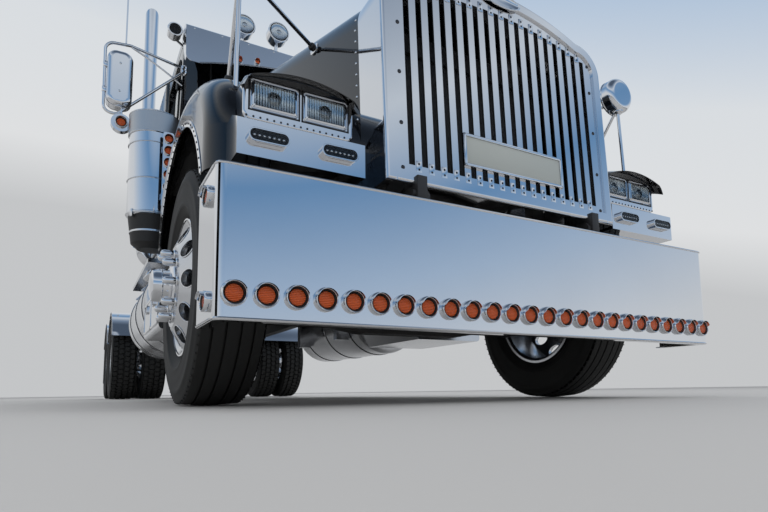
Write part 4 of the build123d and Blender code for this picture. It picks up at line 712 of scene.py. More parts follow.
bezel = panelled(lampWide + 0.01, lampTall + 0.01, 0.016, 0.014, 0.006, 0.012)
kept(copied(bezel, atLamps(0.012)), "headlampBezels", "chrome", "hood")
outWide, outTall = lampWide / 2 + 0.005 + gasket, lampTall / 2 + 0.005 + gasket
bars = framed(-outWide, outWide, -outTall, outTall, gasket, -0.001, 0.0015, 0.0006)
kept(copied(bars, atLamps(0)), "headlampGaskets", "blackRubber", "hood")
reflector = panelled(lampWide - 0.008, lampTall - 0.008, 0.004, 0.01, 0.004, 0.002)
bulb = turned([(0.03, 0.002), (0.028, 0.004), (0.014, 0.0075), (0.001, 0.0085)], 24)
kept(copied(joined([reflector, bulb]), atLamps(0.011)), "headlampReflectors", "lampMirror", "hood")
halfWide, halfTall = lampWide / 2 - 0.006, lampTall / 2 - 0.006
glass = [boxed((-halfWide, -halfTall, 0.004), (halfWide, halfTall, 0.007), 0.001)]
flutePitch = (lampWide - 0.018) / headlamp["flutes"]
for x in spread(headlamp["flutes"], flutePitch):
    clearSelection()
    bpy.ops.mesh.primitive_cylinder_add(
        vertices=10, radius=flutePitch * 0.5, depth=lampTall - 0.016, rotation=(math.pi / 2, 0, 0),
        location=(x, 0, 0.0065),
    )
    flute = settled(bpy.context.object)
    glass.append(settled(flute, Matrix.Translation((0, 0, 0.0033)) @ Matrix.Diagonal((1, 1, 0.5, 1))))
kept(copied(joined(glass), atLamps(0.01)), "headlampLenses", "clearLens", "hood")
podLeft, podRight = headlamp["podX"]


def browSheet(sign):
    (left, right), (rearBack, frontBack) = headlamp["browX"], headlamp["browBack"]

    def shape(u, v):
        x = left + u * (right - left)
        share = (2 * x - podLeft - podRight) / (podRight - podLeft)
        rear = headlamp["podTop"] + 0.003 - headlamp["podArch"] * share**2
        front = headlamp["browFront"] - (x - 0.9) ** 2
        skirt = 0.034 * (max(0, abs(2 * u - 1) - 0.88) / 0.12) ** 2
        return (sign * x, back(rearBack + v * (frontBack - rearBack)), rear + (front - rear) * v**1.4 - skirt)

    return sheet(36, 6, shape, 0.0022)


kept([browSheet(1), browSheet(-1)], "headlampBrows", "blackPaint", "hood")

print("  lamp panels")
panel = {
    "xs": (0.782, 1.037), "front": 0.093, "height": 0.892, "wide": 0.14, "tall": 0.048,
    "leds": 7, "ledPitch": 0.0165,
}
ledSpots = []
for x in panel["xs"]:
    ledSpots += bothSides(x, back(panel["front"]), panel["height"], toFront)
for name, finish, inset, deep, corner, rim, recess in (
    ("markerBezels", "chrome", 0, 0.01, 0.001, 0.004, 0.006),
    ("markerBeds", "satinBlack", 0.01, 0.0046, 0.007, 0.002, 0.0002),
    ("markerLenses", "clearLens", 0.012, 0.0075, 0.008, 0.003, 0.0004),
):
    wide, tall = panel["wide"] - inset, panel["tall"] - inset
    block = panelled(wide, tall, deep, panel["tall"] / 2 - corner, rim, recess, 8)
    kept(copied(block, ledSpots), name, finish, "hood")
cups = [moved(dome(0.0065, 0.003, 12), (x, 0, 0.0045)) for x in spread(panel["leds"], panel["ledPitch"])]
kept(copied(joined(cups), ledSpots), "markerCups", "alloy", "hood")
rivetSpots = []
for x in between(podLeft + 0.012, podRight - 0.012, headlamp["rivets"]):
    rivetSpots += bothSides(x, back(headlamp["podFront"]), headlamp["rivetHeight"], toFront)
kept(copied(dome(0.0042, 0.0028), rivetSpots), "podRivets", "darkSteel", "hood")

print("  hood side rivets")
hoodSide = {"seamBack": 0.277, "rows": 15, "low": 0.9, "step": 0.05, "reach": 0.65}
rivetSpots = []
for index in range(hoodSide["rows"]):
    height = hoodSide["low"] + index * hoodSide["step"]
    lean = (height - grille["foot"]) * math.tan(grille["lean"])
    for s in (1, -1):
        place, normal = struck("hood_shell", (s * 0.9, back(hoodSide["seamBack"]) + lean, height), (-s, 0, 0))
        if abs(place.x) < hoodSide["reach"]:
            rivetSpots.append(spot(place, normal))
kept(copied(dome(0.006, 0.0035, 12), rivetSpots), "hoodRivets", "chrome", "hood")

print("  fender arch trim")
arch = {
    "x": 1.2, "back": 0.965, "height": 0.6, "radius": 0.62, "wide": 0.026, "cut": 0.246,
    "rivets": 29, "arc": (25, 155),
}
band = ring(arch["radius"] - 0.0015, arch["radius"] + arch["wide"], -0.0005, 0.003, 160, 0.001)
cut((0, arch["cut"], 0), (0, 1, 0), clear_inner=True, use_fill=True)
bandSpots = bothSides(arch["x"], back(arch["back"]), arch["height"], (1, 0, 0))
kept(copied(band, bandSpots), "fenderArchBands", "chrome", "hood")
rivetSpots, reach = [], arch["radius"] + arch["wide"] / 2
for angle in between(*arch["arc"], arch["rivets"]):
    y, z = reach * math.cos(math.radians(angle)), reach * math.sin(math.radians(angle))
    rivetSpots += bothSides(arch["x"] + 0.0028, back(arch["back"]) + y, arch["height"] + z, (1, 0, 0))
kept(copied(dome(0.0048, 0.0028), rivetSpots), "fenderArchRivets", "darkSteel", "hood")

print("  front wheels")
wheel = {
    "height": 0.52, "frontX": 1.05, "frontBack": 0.93, "lugs": 10, "lugCircle": 0.1425,
    "face": 0.159,  # the front disc's outer face, outward of the tyre's middle
    "holes": 10, "holeCircle": 0.227, "holeFace": 0.1317, "holeRadius": 0.037, "holeLean": 29.2,
    "lip": 0.305, "lipFace": 0.118,
    "driveBacks": (("First", 6.37), ("Second", 7.69)), "driveFace": 0.926,
    "inner": 0.736, "outer": 1.08,  # how far out the middles of the two tyres stand
}
tread = {
    "radius": 0.52, "half": 0.118, "drop": 0.007, "grooves": (-0.078, -0.028, 0.028, 0.078),
    "grooveDepth": 0.013, "grooveHalf": 0.005, "notches": 84, "notchRows": (-0.116, 0.116),
    "lugBase": 0.5, "lugCount": 52, "lugLean": 14,
    # middle and width of each row of lugs
    "lugRows": ((-0.094, 0.044), (-0.033, 0.046), (0.033, 0.046), (0.094, 0.044)),
}
# radius and half width of one side, from the tread's edge down the outside and up the inside
sideSection = [
    (0.505, 0.126), (0.496, 0.13), (0.474, 0.1355), (0.47, 0.1385), (0.456, 0.14), (0.452, 0.1385),
    (0.425, 0.1405), (0.395, 0.1412), (0.37, 0.1385), (0.366, 0.14), (0.356, 0.1375), (0.352, 0.133),
    (0.335, 0.124), (0.32, 0.113), (0.312, 0.104), (0.287, 0.103), (0.287, 0.074), (0.327, 0.086),
    (0.36, 0.108), (0.4, 0.122), (0.45, 0.118), (0.486, 0.104), (0.494, 0.04),
]


def tyreRing(grooves, treadRadius):  # one tyre about Z
    def crown(half):
        return treadRadius - tread["drop"] * abs(half) / tread["half"]

    outside, deep = [(crown(tread["half"]), -tread["half"])], tread["grooveDepth"]
    for middle in grooves:
        near, far = middle - tread["grooveHalf"], middle + tread["grooveHalf"]
        outside += [(crown(near), near), (crown(near) - deep, near + 0.0015)]
        outside += [(crown(far) - deep, far - 0.0015), (crown(far), far)]
    outside.append((crown(tread["half"]), tread["half"]))
    near = [(radius, -half) for radius, half in reversed(sideSection)]
    return turned(outside + sideSection + near, 96, 32, hollow=True)


def aroundWheel(count, radius, height=0, start=0):  # places round Z that face outward
    reach = Matrix.Translation((radius, 0, height))
    return [Matrix.Rotation(start + 2 * math.pi * index / count, 4, "Z") @ reach for index in range(count)]


def steerTyre():
    base = tyreRing(tread["grooves"], tread["radius"])
    notch = boxed((-0.012, -0.0022, -0.011), (0.0005, 0.0022, 0.011), 0)
    spots = []
    for half in tread["notchRows"]:
        spots += aroundWheel(tread["notches"], tread["radius"] - 0.0085, half)
    return joined([base, copied(notch, spots)])


def driveTyre():
    pieces = [tyreRing((), tread["lugBase"])]
    reach = tread["radius"] - tread["lugBase"] - 0.0005
    half = 0.4 * 2 * math.pi * tread["radius"] / tread["lugCount"]
    for row, (middle, wide) in enumerate(tread["lugRows"]):
        foot = tread["lugBase"] - tread["drop"] * abs(middle) / tread["half"]
        lug = boxed((-0.006, -half, -wide / 2), (reach, half, wide / 2), 0.0022, 1)
        settled(lug, Matrix.Rotation(math.radians(math.copysign(tread["lugLean"], middle)), 4, "X"))
        start = (row % 2) * math.pi / tread["lugCount"]
        pieces.append(copied(lug, aroundWheel(tread["lugCount"], foot, middle, start)))
    return joined(pieces)


def lugCovers(sides, face):
    cover = [
        (0.021, 0), (0.021, 0.004), (0.0168, 0.008), (0.0165, 0.046), (0.013, 0.055), (0.006, 0.059),
        (0.0008, 0.06),
    ]
    return copied(turned(cover, sides, 40), aroundWheel(wheel["lugs"], wheel["lugCircle"], face))


def wheelSet(bright, rubber, place, sign, names, body, old):
    place = [spot(place, (sign, 0, 0))]
    kept(copied(bright, place, last=False), names[0], "chrome", body)
    kept(copied(rubber, place, last=False), names[1], "tyreRubber", body, instead=(old,))


hubCover = [
    (0.104, 0), (0.104, 0.005), (0.096, 0.012), (0.074, 0.018), (0.07, 0.026), (0.07, 0.074), (0.066, 0.085),
    (0.05, 0.092), (0.024, 0.0955), (0.001, 0.096),
]
holeTilt = Matrix.Rotation(math.radians(wheel["holeLean"]), 4, "Y") @ Matrix.Diagonal((1.146, 1, 1, 1))
holeRing = ring(wheel["holeRadius"], wheel["holeRadius"] + 0.004, -0.001, 0.0018, 28, 0.0012)
holeSpots = [side @ holeTilt for side in aroundWheel(wheel["holes"], wheel["holeCircle"], wheel["holeFace"])]
face, lip, lipFace = wheel["face"], wheel["lip"], wheel["lipFace"]
bright = joined([
    lugCovers(16, face),
    moved(turned(hubCover, 48, 30), (0, 0, face)),
    ring(0.066, 0.0725, face + 0.046, face + 0.052),
    copied(holeRing, holeSpots),
    ring(lip - 0.008, lip + 0.0005, lipFace - 0.002, lipFace + 0.003, 72),
])
rubber = steerTyre()
for word, sign in hands:
    side, place = word.lower(), (sign * wheel["frontX"], back(wheel["frontBack"]), wheel["height"])
    names = (f"frontWheelCovers{word}", f"frontTyre{word}")
    wheelSet(bright, rubber, place, sign, names, f"front_wheel_{side}", f"front_tyre_{side}")
for pattern in (bright, rubber):
    bpy.data.objects.remove(pattern)

print("  drive wheels")
rubber = copied(driveTyre(), [Matrix.Translation((0, 0, wheel[row])) for row in ("inner", "outer")])
axleCap = [
    (0.104, 0), (0.104, 0.012), (0.098, 0.02), (0.09, 0.026), (0.087, 0.07), (0.08, 0.086), (0.058, 0.096),
    (0.026, 0.101), (0.001, 0.102),
]
bright = joined([
    lugCovers(14, wheel["driveFace"]),
    moved(turned(axleCap, 48, 30), (0, 0, wheel["driveFace"])),
    ring(0.297, 0.3055, wheel["outer"] + 0.116, wheel["outer"] + 0.121, 72),
    ring(0.266, 0.274, wheel["outer"] + 0.08, wheel["outer"] + 0.084, 72),
])
for axle, distance in wheel["driveBacks"]:
    for word, sign in hands:
        end = f"{axle}_{word}".lower()
        names = (f"wheelCovers{axle}{word}", f"driveTyres{axle}{word}")
        body = f"{axle}_drive_wheels_{word}".lower()
        wheelSet(bright, rubber, (0, back(distance), wheel["height"]), sign, names, body, f"dual_tyres_{end}")
for pattern in (bright, rubber):
    bpy.data.objects.remove(pattern)

print("  air cleaners and light bars")
cleaner = {
    "x": 1.175, "back": 2.3, "radius": 0.155, "strap": 1.105, "capEnds": (1.775, 1.915),
    "clips": (35, 125, 215, 305),
    "bands": ((1.222, 0.016), (1.452, 0.01), (1.7, 0.006)),  # foot and height of each
    "bowl": (
        (0.06, 1.0035), (0.0815, 1.0035), (0.1215, 1.0395), (0.1445, 1.213), (0.1445, 1.2165), (0.12, 1.2165),
    ),
    "lid": (
        (0.15, 1.9165), (0.1515, 1.919), (0.142, 1.93), (0.12, 1.935), (0.112, 1.9325), (0.104, 1.937),
        (0.055, 1.947), (0.01, 1.95), (0.01, 1.959), (0.001, 1.96),
    ),
}
lightBar = {"x": 1.11, "back": 2.1, "top": 1.713, "pitch": 0.082, "lamps": 6, "bezel": 0.031, "lens": 0.0225}
cleanerSpots = [Matrix.Translation((s * cleaner["x"], back(cleaner["back"]), 0)) for s in (1, -1)]
# The bowls are chrome; they are drawn black so they show dark: a painted dark reflection.
kept(copied(turned(cleaner["bowl"], 48, 30), cleanerSpots), "cleanerBowls", "blackRubber")
bright, radius = [], cleaner["radius"]
for height, tall in cleaner["bands"]:
    bright.append(ring(radius - 0.004, radius + 0.0035, height, height + tall, 56, 0.0025))
    bright.append(ring(radius + 0.003, radius + 0.0055, height + 0.004, height + tall - 0.004, 56))
bright.append(ring(0.128, 0.1345, cleaner["strap"], cleaner["strap"] + 0.014, 48, 0.002))
for height in cleaner["capEnds"]:
    bright.append(ring(radius - 0.002, radius + 0.0078, height - 0.004, height + 0.004, 56, 0.0025))
capBand = ring(radius - 0.002, radius + 0.006, *cleaner["capEnds"], 72, 0.002)
kept(copied(capBand, cleanerSpots), "cleanerCapBands", "brushed")
bright.append(turned(cleaner["lid"], 48, 25))
for angle in cleaner["clips"]:  # over-centre clips at the bowl's seam
    clip = boxed((-0.012, 0.15, 1.196), (0.012, 0.163, 1.246), 0.003)
    bright.append(settled(clip, Matrix.Rotation(math.radians(angle), 4, "Z")))
kept(copied(joined(bright), cleanerSpots), "cleanerBands", "polishedAlloy")
barSpots = []
for index in range(lightBar["lamps"]):
    height = lightBar["top"] - index * lightBar["pitch"]
    barSpots += bothSides(lightBar["x"], back(lightBar["back"]), height, toFront)
lampSet("bar", lightBar["bezel"], lightBar["lens"], 7, barSpots)

print("  side mirrors")
mirror = {
    "x": 1.4, "back": 2.4, "low": 2, "high": 2.4, "deep": 0.045, "wide": 0.16,
    "lamp": (0.04, 0.0268, 9),  # radius of the bezel and of the lens, and ribs
    "armBack": 2.452, "armHeights": (2.435, 2.405), "convexX": 1.38, "convexHeight": 1.89,
    "boltHeights": (2.1, 2.3), "clampInset": 0.11, "clampOut": 0.0892,
    "strut": ((0.992, 2.452, 2.3), (1.16, 2.428, 2.4), (1.335, 2.402, 2.462)),
}
headTall = mirror["high"] - mirror["low"]
middle = (mirror["low"] + mirror["high"]) / 2
glassSpots = bothSides(mirror["x"], back(mirror["back"] + mirror["deep"]), middle, toRear)
frame = panelled(mirror["wide"] - 0.002, headTall - 0.002, 0.01, 0.058, 0.007, 0.007)
kept(copied(frame, glassSpots), "mirrorFrames", "blackRubber")
glass = panelled(mirror["wide"] - 0.02, headTall - 0.02, 0.0045, 0.052, 0.002, 0.0003)
kept(copied(glass, glassSpots), "mirrorGlasses", "mirrorGlass")
convex = [(0.0625, 0), (0.063, 0.004), (0.06, 0.007), (0.056, 0.0055), (0.03, 0.0085), (0.001, 0.0095)]
convexPlace = (mirror["convexX"], back(mirror["back"] + 0.022), mirror["convexHeight"])
kept(copied(turned(convex, 36, 30), bothSides(*convexPlace, toRear)), "convexMirrors", "mirrorGlass")
lampPlace = (mirror["convexX"], back(mirror["back"] - 0.02), mirror["convexHeight"])
lampSet("mirror", *mirror["lamp"], bothSides(*lampPlace, toFront))
fittings = []
for s in (1, -1):
    for height in mirror["armHeights"]:
        foot = turned([(0.026, -0.004), (0.026, 0.004), (0.017, 0.008), (0.0125, 0.024)], 24, 30)
        start = (s * 1.3, back(mirror["armBack"]), height)
        fittings.append(moved(foot, *struck("cab_shell", start, (-s, 0, 0))))
    for height in (mirror["low"] + mirror["clampInset"], mirror["high"] - mirror["clampInset"]):
        clamp = turned([(0.014, -0.018), (0.015, -0.016), (0.015, 0.016), (0.014, 0.018)], 20, 30)
        fittings.append(moved(clamp, (s * (mirror["x"] + mirror["clampOut"]), back(mirror["back"]), height)))
    for height in mirror["boltHeights"]:
        place = (s * mirror["x"], back(mirror["back"] - 0.045), height)
        fittings.append(moved(dome(0.008, 0.004, 12), place, toFront))
    fittings.append(piped([(s * x, back(distance), z) for x, distance, z in mirror["strut"]], 0.0065, 12))
kept(fittings, "mirrorFittings", "chrome")

print("  fender mirrors")
fenderMirror = {
    "place": (1.085, 0.375, 1.735),
    "legs": (
        # node the leg stands on, its foot and its top
        ("headlights", (1.095, 0.33, 1.1), (1.085, 0.345, 1.64)),
        ("front_fenders", (1.06, 0.64, 1.28), (1.085, 0.35, 1.66)),
        ("hood_shell", (0.6, 0.7, 1.65), (1.085, 0.35, 1.68)),
    ),
    "collar": (0.345, 1.628), "clamp": (0.348, 1.668),  # distance back and height
}
x, distance, height = fenderMirror["place"]
spots = bothSides(x, back(distance), height, toRear)
rim = [
    (0.1005, -0.004), (0.103, 0), (0.103, 0.006), (0.099, 0.01), (0.0945, 0.01), (0.0945, 0.004), (0.09, 0.004),
]
kept(copied(turned(rim, 48, 30), spots), "fenderMirrorRims", "chrome", "hood")
glass = turned([(0.0935, 0.0045), (0.0935, 0.006), (0.06, 0.0085), (0.03, 0.0098), (0.001, 0.0102)], 48, 60)
kept(copied(glass, spots), "fenderMirrorGlasses", "mirrorGlass", "hood")
bright, black = [], []
for s in (1, -1):
    for node, foot, top in fenderMirror["legs"]:
        low, high = (Vector((s * x, back(distance), z)) for x, distance, z in (foot, top))
        place, normal = struck(node, high, low - high)
        flange = turned([(0.03, -0.004), (0.03, 0.003), (0.026, 0.0055), (0.016, 0.008)], 28, 30)
        bright.append(moved(flange, place, normal))
        ball = turned([(0.008, 0.004), (0.0165, 0.01), (0.0185, 0.02), (0.015, 0.03), (0.011, 0.034)], 20, 60)
        black.append(moved(ball, place, high - low))
        for third in range(3):
            angle = math.radians(120 * third)
            flat = Vector((math.cos(angle), math.sin(angle), 0)) * 0.0215
            bolt = place + normal.to_track_quat("Z", "Y").to_matrix() @ flat + normal * 0.004
            bright.append(moved(dome(0.0042, 0.003, 8), bolt, normal))
    distance, height = fenderMirror["collar"]
    collar = turned([(0.0155, 0), (0.0195, 0.004), (0.0195, 0.02), (0.0155, 0.024)], 20, 30)
    bright.append(moved(collar, (s * fenderMirror["place"][0], back(distance), height)))
    distance, height = fenderMirror["clamp"]
    clamp = boxed((-0.026, -0.016, -0.012), (0.026, 0.016, 0.012), 0.004)
    black.append(moved(clamp, (s * fenderMirror["place"][0], back(distance), height)))
kept(bright, "fenderMirrorFeet", "chrome", "hood")
kept(black, "fenderMirrorJoints", "satinBlack", "hood")

print("  roof lamps and visor lamps")
roofLamps = (
    # x, distance back, height, radius
    (0.57, 2.365, 2.872, 0.08), (0.3, 2.365, 2.9, 0.08), (1.062, 2.37, 2.67, 0.048),
)
rims, backs, covers, darkCovers = [], [], [], []
for x, distance, height, radius in roofLamps:
    spots = bothSides(x, back(distance), height, toFront)
    rim = [
        (radius + 0.0005, -0.006), (radius + 0.004, -0.002), (radius + 0.004, 0.007), (radius, 0.012),
        (radius - 0.006, 0.012), (radius - 0.007, 0.004), (radius - 0.01, 0.004),
    ]
    rims.append(copied(turned(rim, 48, 30), spots))
    if radius < 0.06:  # the corner lamps are small, with a dark face
        darkCovers.append(copied(ribbedLens(radius - 0.008, 9), spots))
        continue
    bowl = [
        (radius - 0.008, 0.0032), (radius - 0.02, 0.0024), (0.022, 0.0012), (0.018, 0.006), (0.01, 0.0085),
        (0.001, 0.009),
    ]
    backs.append(copied(turned(bowl, 40, 40), spots))
    edge = [(radius - 0.008, 0.0095), (radius - 0.009, 0.012)]
    cover = edge + [(0.045, 0.0165), (0.02, 0.0182), (0.001, 0.0187)]
    covers.append(copied(turned(cover, 40, 60), spots))
    tail = [(radius, 0), (radius * 0.94, 0.02), (radius * 0.7, 0.048), (radius * 0.35, 0.066), (0.001, 0.072)]
    rims.append(copied(turned(tail, 40, 60), bothSides(x, back(distance + 0.074), height, toRear)))
kept(rims, "roofLampRims", "chrome")
kept(backs, "roofLampReflectors", "alloy")
kept(covers, "roofLampCovers", "clearLens")
kept(darkCovers, "pillarLampLenses", "blackPaint")
visor = {
    "lampXs": (0.51, 0.64), "lamp": (0.024, 0.0175, 7), "lift": 0.036, "archTop": 2.503, "archRadius": 2.927,
    "edge": 0.92, "edgeSteps": 24, "screws": 11, "screwEdge": 0.95, "screwHeight": 2.628,
}


def onVisor(x, rise, height=None):  # on its face, this far over its arched lower edge
    edge = visor["archTop"] - (visor["archRadius"] - math.sqrt(visor["archRadius"] ** 2 - x**2))
    return struck("sun_visor", (x, back(2), height or edge + rise), toRear)


lampSpots = [spot(*onVisor(s * x, visor["lift"])) for x in visor["lampXs"] for s in (1, -1)]
lampSet("visor", *visor["lamp"], lampSpots, well=False)
line = []
for x in between(-visor["edge"], visor["edge"], visor["edgeSteps"] + 1):
    place, normal = onVisor(x, 0.006)
    line.append(place + normal * 0.001)
screwXs = between(-visor["screwEdge"], visor["screwEdge"], visor["screws"])
screws = [spot(*onVisor(x, 0, visor["screwHeight"])) for x in screwXs]
kept([piped(line, 0.0035, 8), copied(dome(0.0065, 0.0035, 10), screws)], "visorTrim", "chrome")

print("  exhaust shields")
stack = {
    "x": 1.05, "back": 4.37, "muffler": (1.65, 2.9), "mufflerRadius": 0.13, "shield": (1.74, 2.81),
    "shieldRadius": 0.1355, "pipeRadius": 0.0635, "turn": 35,
    "hole": 0.0085, "holeRows": 38, "holesAcross": 15, "holeArc": 150, "holeInset": 0.035,
}
(shieldLow, shieldHigh), outer = stack["shield"], stack["shieldRadius"]
shield = ring(stack["mufflerRadius"] - 0.002, outer, shieldLow, shieldHigh, 72, 0.002)
cut((0, 0, 0), (0, 1, 0), clear_outer=True, use_fill=True)
holeSpots = []
heights = between(shieldLow + stack["holeInset"], shieldHigh - stack["holeInset"], stack["holeRows"])
for row, height in enumerate(heights):
    for column in range(stack["holesAcross"]):
        share = (column + 0.5 * (row % 2)) / stack["holesAcross"] - 0.5
        angle = math.radians(270 + share * stack["holeArc"])
        outward = Vector((math.cos(angle), math.sin(angle), 0))
        holeSpots.append(spot(outward * outer + Vector((0, 0, height)), outward))
# The shield's holes are thin black discs on its face: painted shade for the dark seen through each hole.
holes = copied(turned([(stack["hole"], 0), (stack["hole"], 0.0006), (0.001, 0.0007)], 10, 30), holeSpots)
low, high = stack["muffler"]
bands = [
    ring(radius - 0.003, radius + 0.0065, height, height + tall, 56, 0.003)
    for height, radius, tall in (
        (low + 0.045, stack["mufflerRadius"], 0.03), (high - 0.075, stack["mufflerRadius"], 0.03),
        (1.585, 0.092, 0.024), (1.625, 0.092, 0.012), (2.925, stack["pipeRadius"], 0.04),
    )
]
stackSpots = [Matrix.Translation((s * stack["x"], back(stack["back"]), 0)) for s in (1, -1)]
turn = math.radians(stack["turn"])
outwards = [place @ Matrix.Rotation(s * turn, 4, "Z") for place, s in zip(stackSpots, (1, -1))]
kept(copied(shield, outwards), "exhaustShields", "chrome")
kept(copied(holes, outwards), "exhaustShieldHoleShade", "satinBlack")
kept(copied(joined(bands), stackSpots), "exhaustBands", "chrome")
kept(copied(ring(0.088, 0.0945, 1.545, 1.575, 48, 0.002), stackSpots), "exhaustSleeves", "satinBlack")

print("  cab fittings")
cab = {
    "stripBacks": (2.538, 3.207),
    "window": (2.575, 3.17, 2.09, 2.585),  # front, rear, foot and top
    "windowGap": 0.006, "windowCorner": 0.062,
    "handle": (3.12, 1.93), "lock": (3.132, 1.868), "hatch": (3.765, 1.56),  # distance back and height
    "grab": (3.272, 1.45, 2.35), "rivet": (0.0058, 0.0026, 8),
    "rivetStep": 0.095,
    "rivetRows": (
        # node, distance back, lowest, highest
        ("cab_shell", 3.286, 1.2, 2.72),
        ("sleeper_shell", 3.35, 1.2, 2.74), ("sleeper_shell", 4.165, 1.2, 2.74),
    ),
    "sleeperRivets": (1.18, 2.745), "sillBacks": ((2.56, 3.29), (3.335, 4.205)),
    "lampBacks": (3.42, 4.12), "lampHeight": 1.235, "lamp": (0.027, 0.02, 7),
}


def roundedLoop(low, high, corner, steps=6):  # points of a rounded rectangle, in (y, z)
    near, far, foot, top = low[0] + corner, high[0] - corner, low[1] + corner, high[1] - corner
    points = []
    for cy, cz, start in ((far, top, 0), (near, top, 90), (near, foot, 180), (far, foot, 270)):
        for step in range(steps + 1):
            angle = math.radians(start + 90 * step / steps)
            points.append((cy + corner * math.cos(angle), cz + corner * math.sin(angle)))
    return points + points[:1]


def onSide(name, y, z, side):  # a point on a side wall, and its direction
    return struck(name, (side * 1.45, y, z), (-side, 0, 0))


def onWall(place, side):  # a panel's plane turned to face one side, its length along the truck
    turn = Matrix(((0, 0, side, 0), (side, 0, 0, 0), (0, 1, 0, 0), (0, 0, 0, 1)))
    return Matrix.Translation(place) @ turn


for word, side in hands:
    door, body = f"door_{word.lower()}", f"{word.lower()}_door"
    front, rear, low, high = cab["window"]
    gap = cab["windowGap"]
    loop = roundedLoop((back(front) - gap, low - gap), (back(rear) + gap, high + gap), cab["windowCorner"])
    seal = [place + normal * 0.001 for place, normal in (onSide(door, y, z, side) for y, z in loop)]
    kept(piped(seal, 0.0065, 8, round=False), f"windowSeal{word}", "blackRubber", body)
    distance, height = cab["handle"]
    place, _ = onSide(door, back(distance), height, side)
    bright = [settled(panelled(0.17, 0.048, 0.006, 0.02, 0.003, 0.0015), onWall(place, side))]
    grip = ((0.004, -0.07), (0.03, -0.066), (0.034, -0.02), (0.034, 0.045), (0.026, 0.066), (0.004, 0.07))
    bright.append(piped([place + Vector((side * out, along, 0)) for out, along in grip], 0.0095, 12))
    distance, height = cab["lock"]
    lock = turned([(0.013, 0), (0.013, 0.006), (0.01, 0.009), (0.001, 0.009)], 20, 30)
    bright.append(moved(lock, *onSide(door, back(distance), height, side)))
    front, rear = cab["stripBacks"]
    bright.append(boxed((side * 0.9985, back(front), 1.3), (side * 1.0045, back(rear), 1.322), 0.002))
    kept(bright, f"doorHandle{word}", "chrome", body)
    distance, low, high = cab["grab"]
    bar = (
        (0.998, low), (1.046, low + 0.004), (1.052, low + 0.05),
        (1.052, high - 0.05), (1.046, high - 0.004), (0.985, high),
    )
    grabs = [piped([(side * x, back(distance), z) for x, z in bar], 0.011, 12)]
    for height in (low, high):
        foot = turned([(0.024, -0.003), (0.024, 0.003), (0.018, 0.006)], 20, 30)
        grabs.append(moved(foot, *onSide("cab_shell", back(distance), height, side)))
    kept(grabs, f"grabRail{word}", "chrome")

print("  cab and sleeper rivets")
rivetSpots, step = [], cab["rivetStep"]
for name, distance, low, high in cab["rivetRows"]:
    for index in range(int((high - low) / step)):
        rivetSpots += [spot(*onSide(name, back(distance), low + index * step, side)) for side in (1, -1)]
for height in cab["sleeperRivets"]:
    for index in range(8):
        y = back(3.44 + index * step)
        rivetSpots += [spot(*onSide("sleeper_shell", y, height, side)) for side in (1, -1)]
    for x in between(-0.9, 0.9, 19):
        rivetSpots.append(spot(*struck("sleeper_shell", (x, back(5.2), height), toFront)))
kept(copied(dome(*cab["rivet"]), rivetSpots), "cabRivets", "blackPaint")
trims, hatches = [], []
for side in (1, -1):
    for front, rear in cab["sillBacks"]:
        trims.append(boxed((side * 0.999, back(front), 1.168), (side * 1.006, back(rear), 1.206), 0.0025))
    distance, height = cab["hatch"]
    hatch = panelled(0.62, 0.5, 0.01, 0.045, 0.012, 0.004)
    hatches.append(settled(hatch, onWall((side * 0.9985, back(distance), height), side)))
kept(trims, "sillTrims", "chrome")
kept(hatches, "sleeperHatches", "blackPaint")
lampSpots = [
    spot(*onSide("sleeper_shell", back(distance), cab["lampHeight"], side))
    for side in (1, -1) for distance in cab["lampBacks"]
]
lampSet("sleeper", *cab["lamp"], lampSpots)

print("  windscreen seals and wipers")
screen = {
    "inner": 0.025, "outer": (0.81, 0.79),  # x of the pane's edges, the outer one at its foot and its top
    "low": 2.165, "high": 2.655, "corner": 0.045, "grow": 0.006,
    "wipers": ((0.16, 0.66), (-0.7, -0.2)), "rootHeight": 2.118, "bladeFoot": 2.205, "bladeRise": 0.28,
}
seals, wipers, shares = [], [], (0, 0.25, 0.5, 0.75, 1)
inner, (outerLow, outerHigh), low, high = (screen[key] for key in ("inner", "outer", "low", "high"))
corners = [Vector(corner) for corner in ((inner, low), (outerLow, low), (outerHigh, high), (inner, high))]
loop = []
for index, corner in enumerate(corners):
    before = (corners[index - 1] - corner).normalized() * screen["corner"]
    after = (corners[(index + 1) % 4] - corner).normalized() * screen["corner"]
    loop += [corner + before * (1 - share) ** 2 + after * share**2 for share in shares]
for side in (1, -1):
    line = []
    for x, z in loop + loop[:1]:
        x += math.copysign(screen["grow"], x - (inner + outerLow) / 2)
        z += math.copysign(screen["grow"], z - (low + high) / 2)
        place, normal = struck("cab_shell", (side * x, back(1.9), z), toRear)
        line.append(place + normal * 0.001)
    seals.append(piped(line, 0.0075, 8, round=False))
kept(seals, "windscreenSeals", "blackRubber")


def onScreen(x, z, out):
    place, normal = struck("windscreen", (x, back(1.9), z), toRear)
    return place + normal * out


for low, high in screen["wipers"]:
    root, normal = struck("cab_shell", (low, back(1.9), screen["rootHeight"]), toRear)
    pivot = turned([(0.02, -0.002), (0.02, 0.012), (0.013, 0.02), (0.001, 0.022)], 20, 30)
    elbow, tip = onScreen(low + 0.12, 2.26, 0.034), onScreen((low + high) / 2 + 0.08, 2.33, 0.016)
    blade = [
        onScreen(low + 0.02 + share * (high - low), screen["bladeFoot"] + screen["bladeRise"] * share, 0.01)
        for share in shares
    ]
    arm = piped([root + normal * 0.014, elbow, tip], 0.0055, 8)
    wipers += [moved(pivot, root, normal), arm, piped(blade, 0.006, 8)]
kept(wipers, "wipers", "blackRubber")

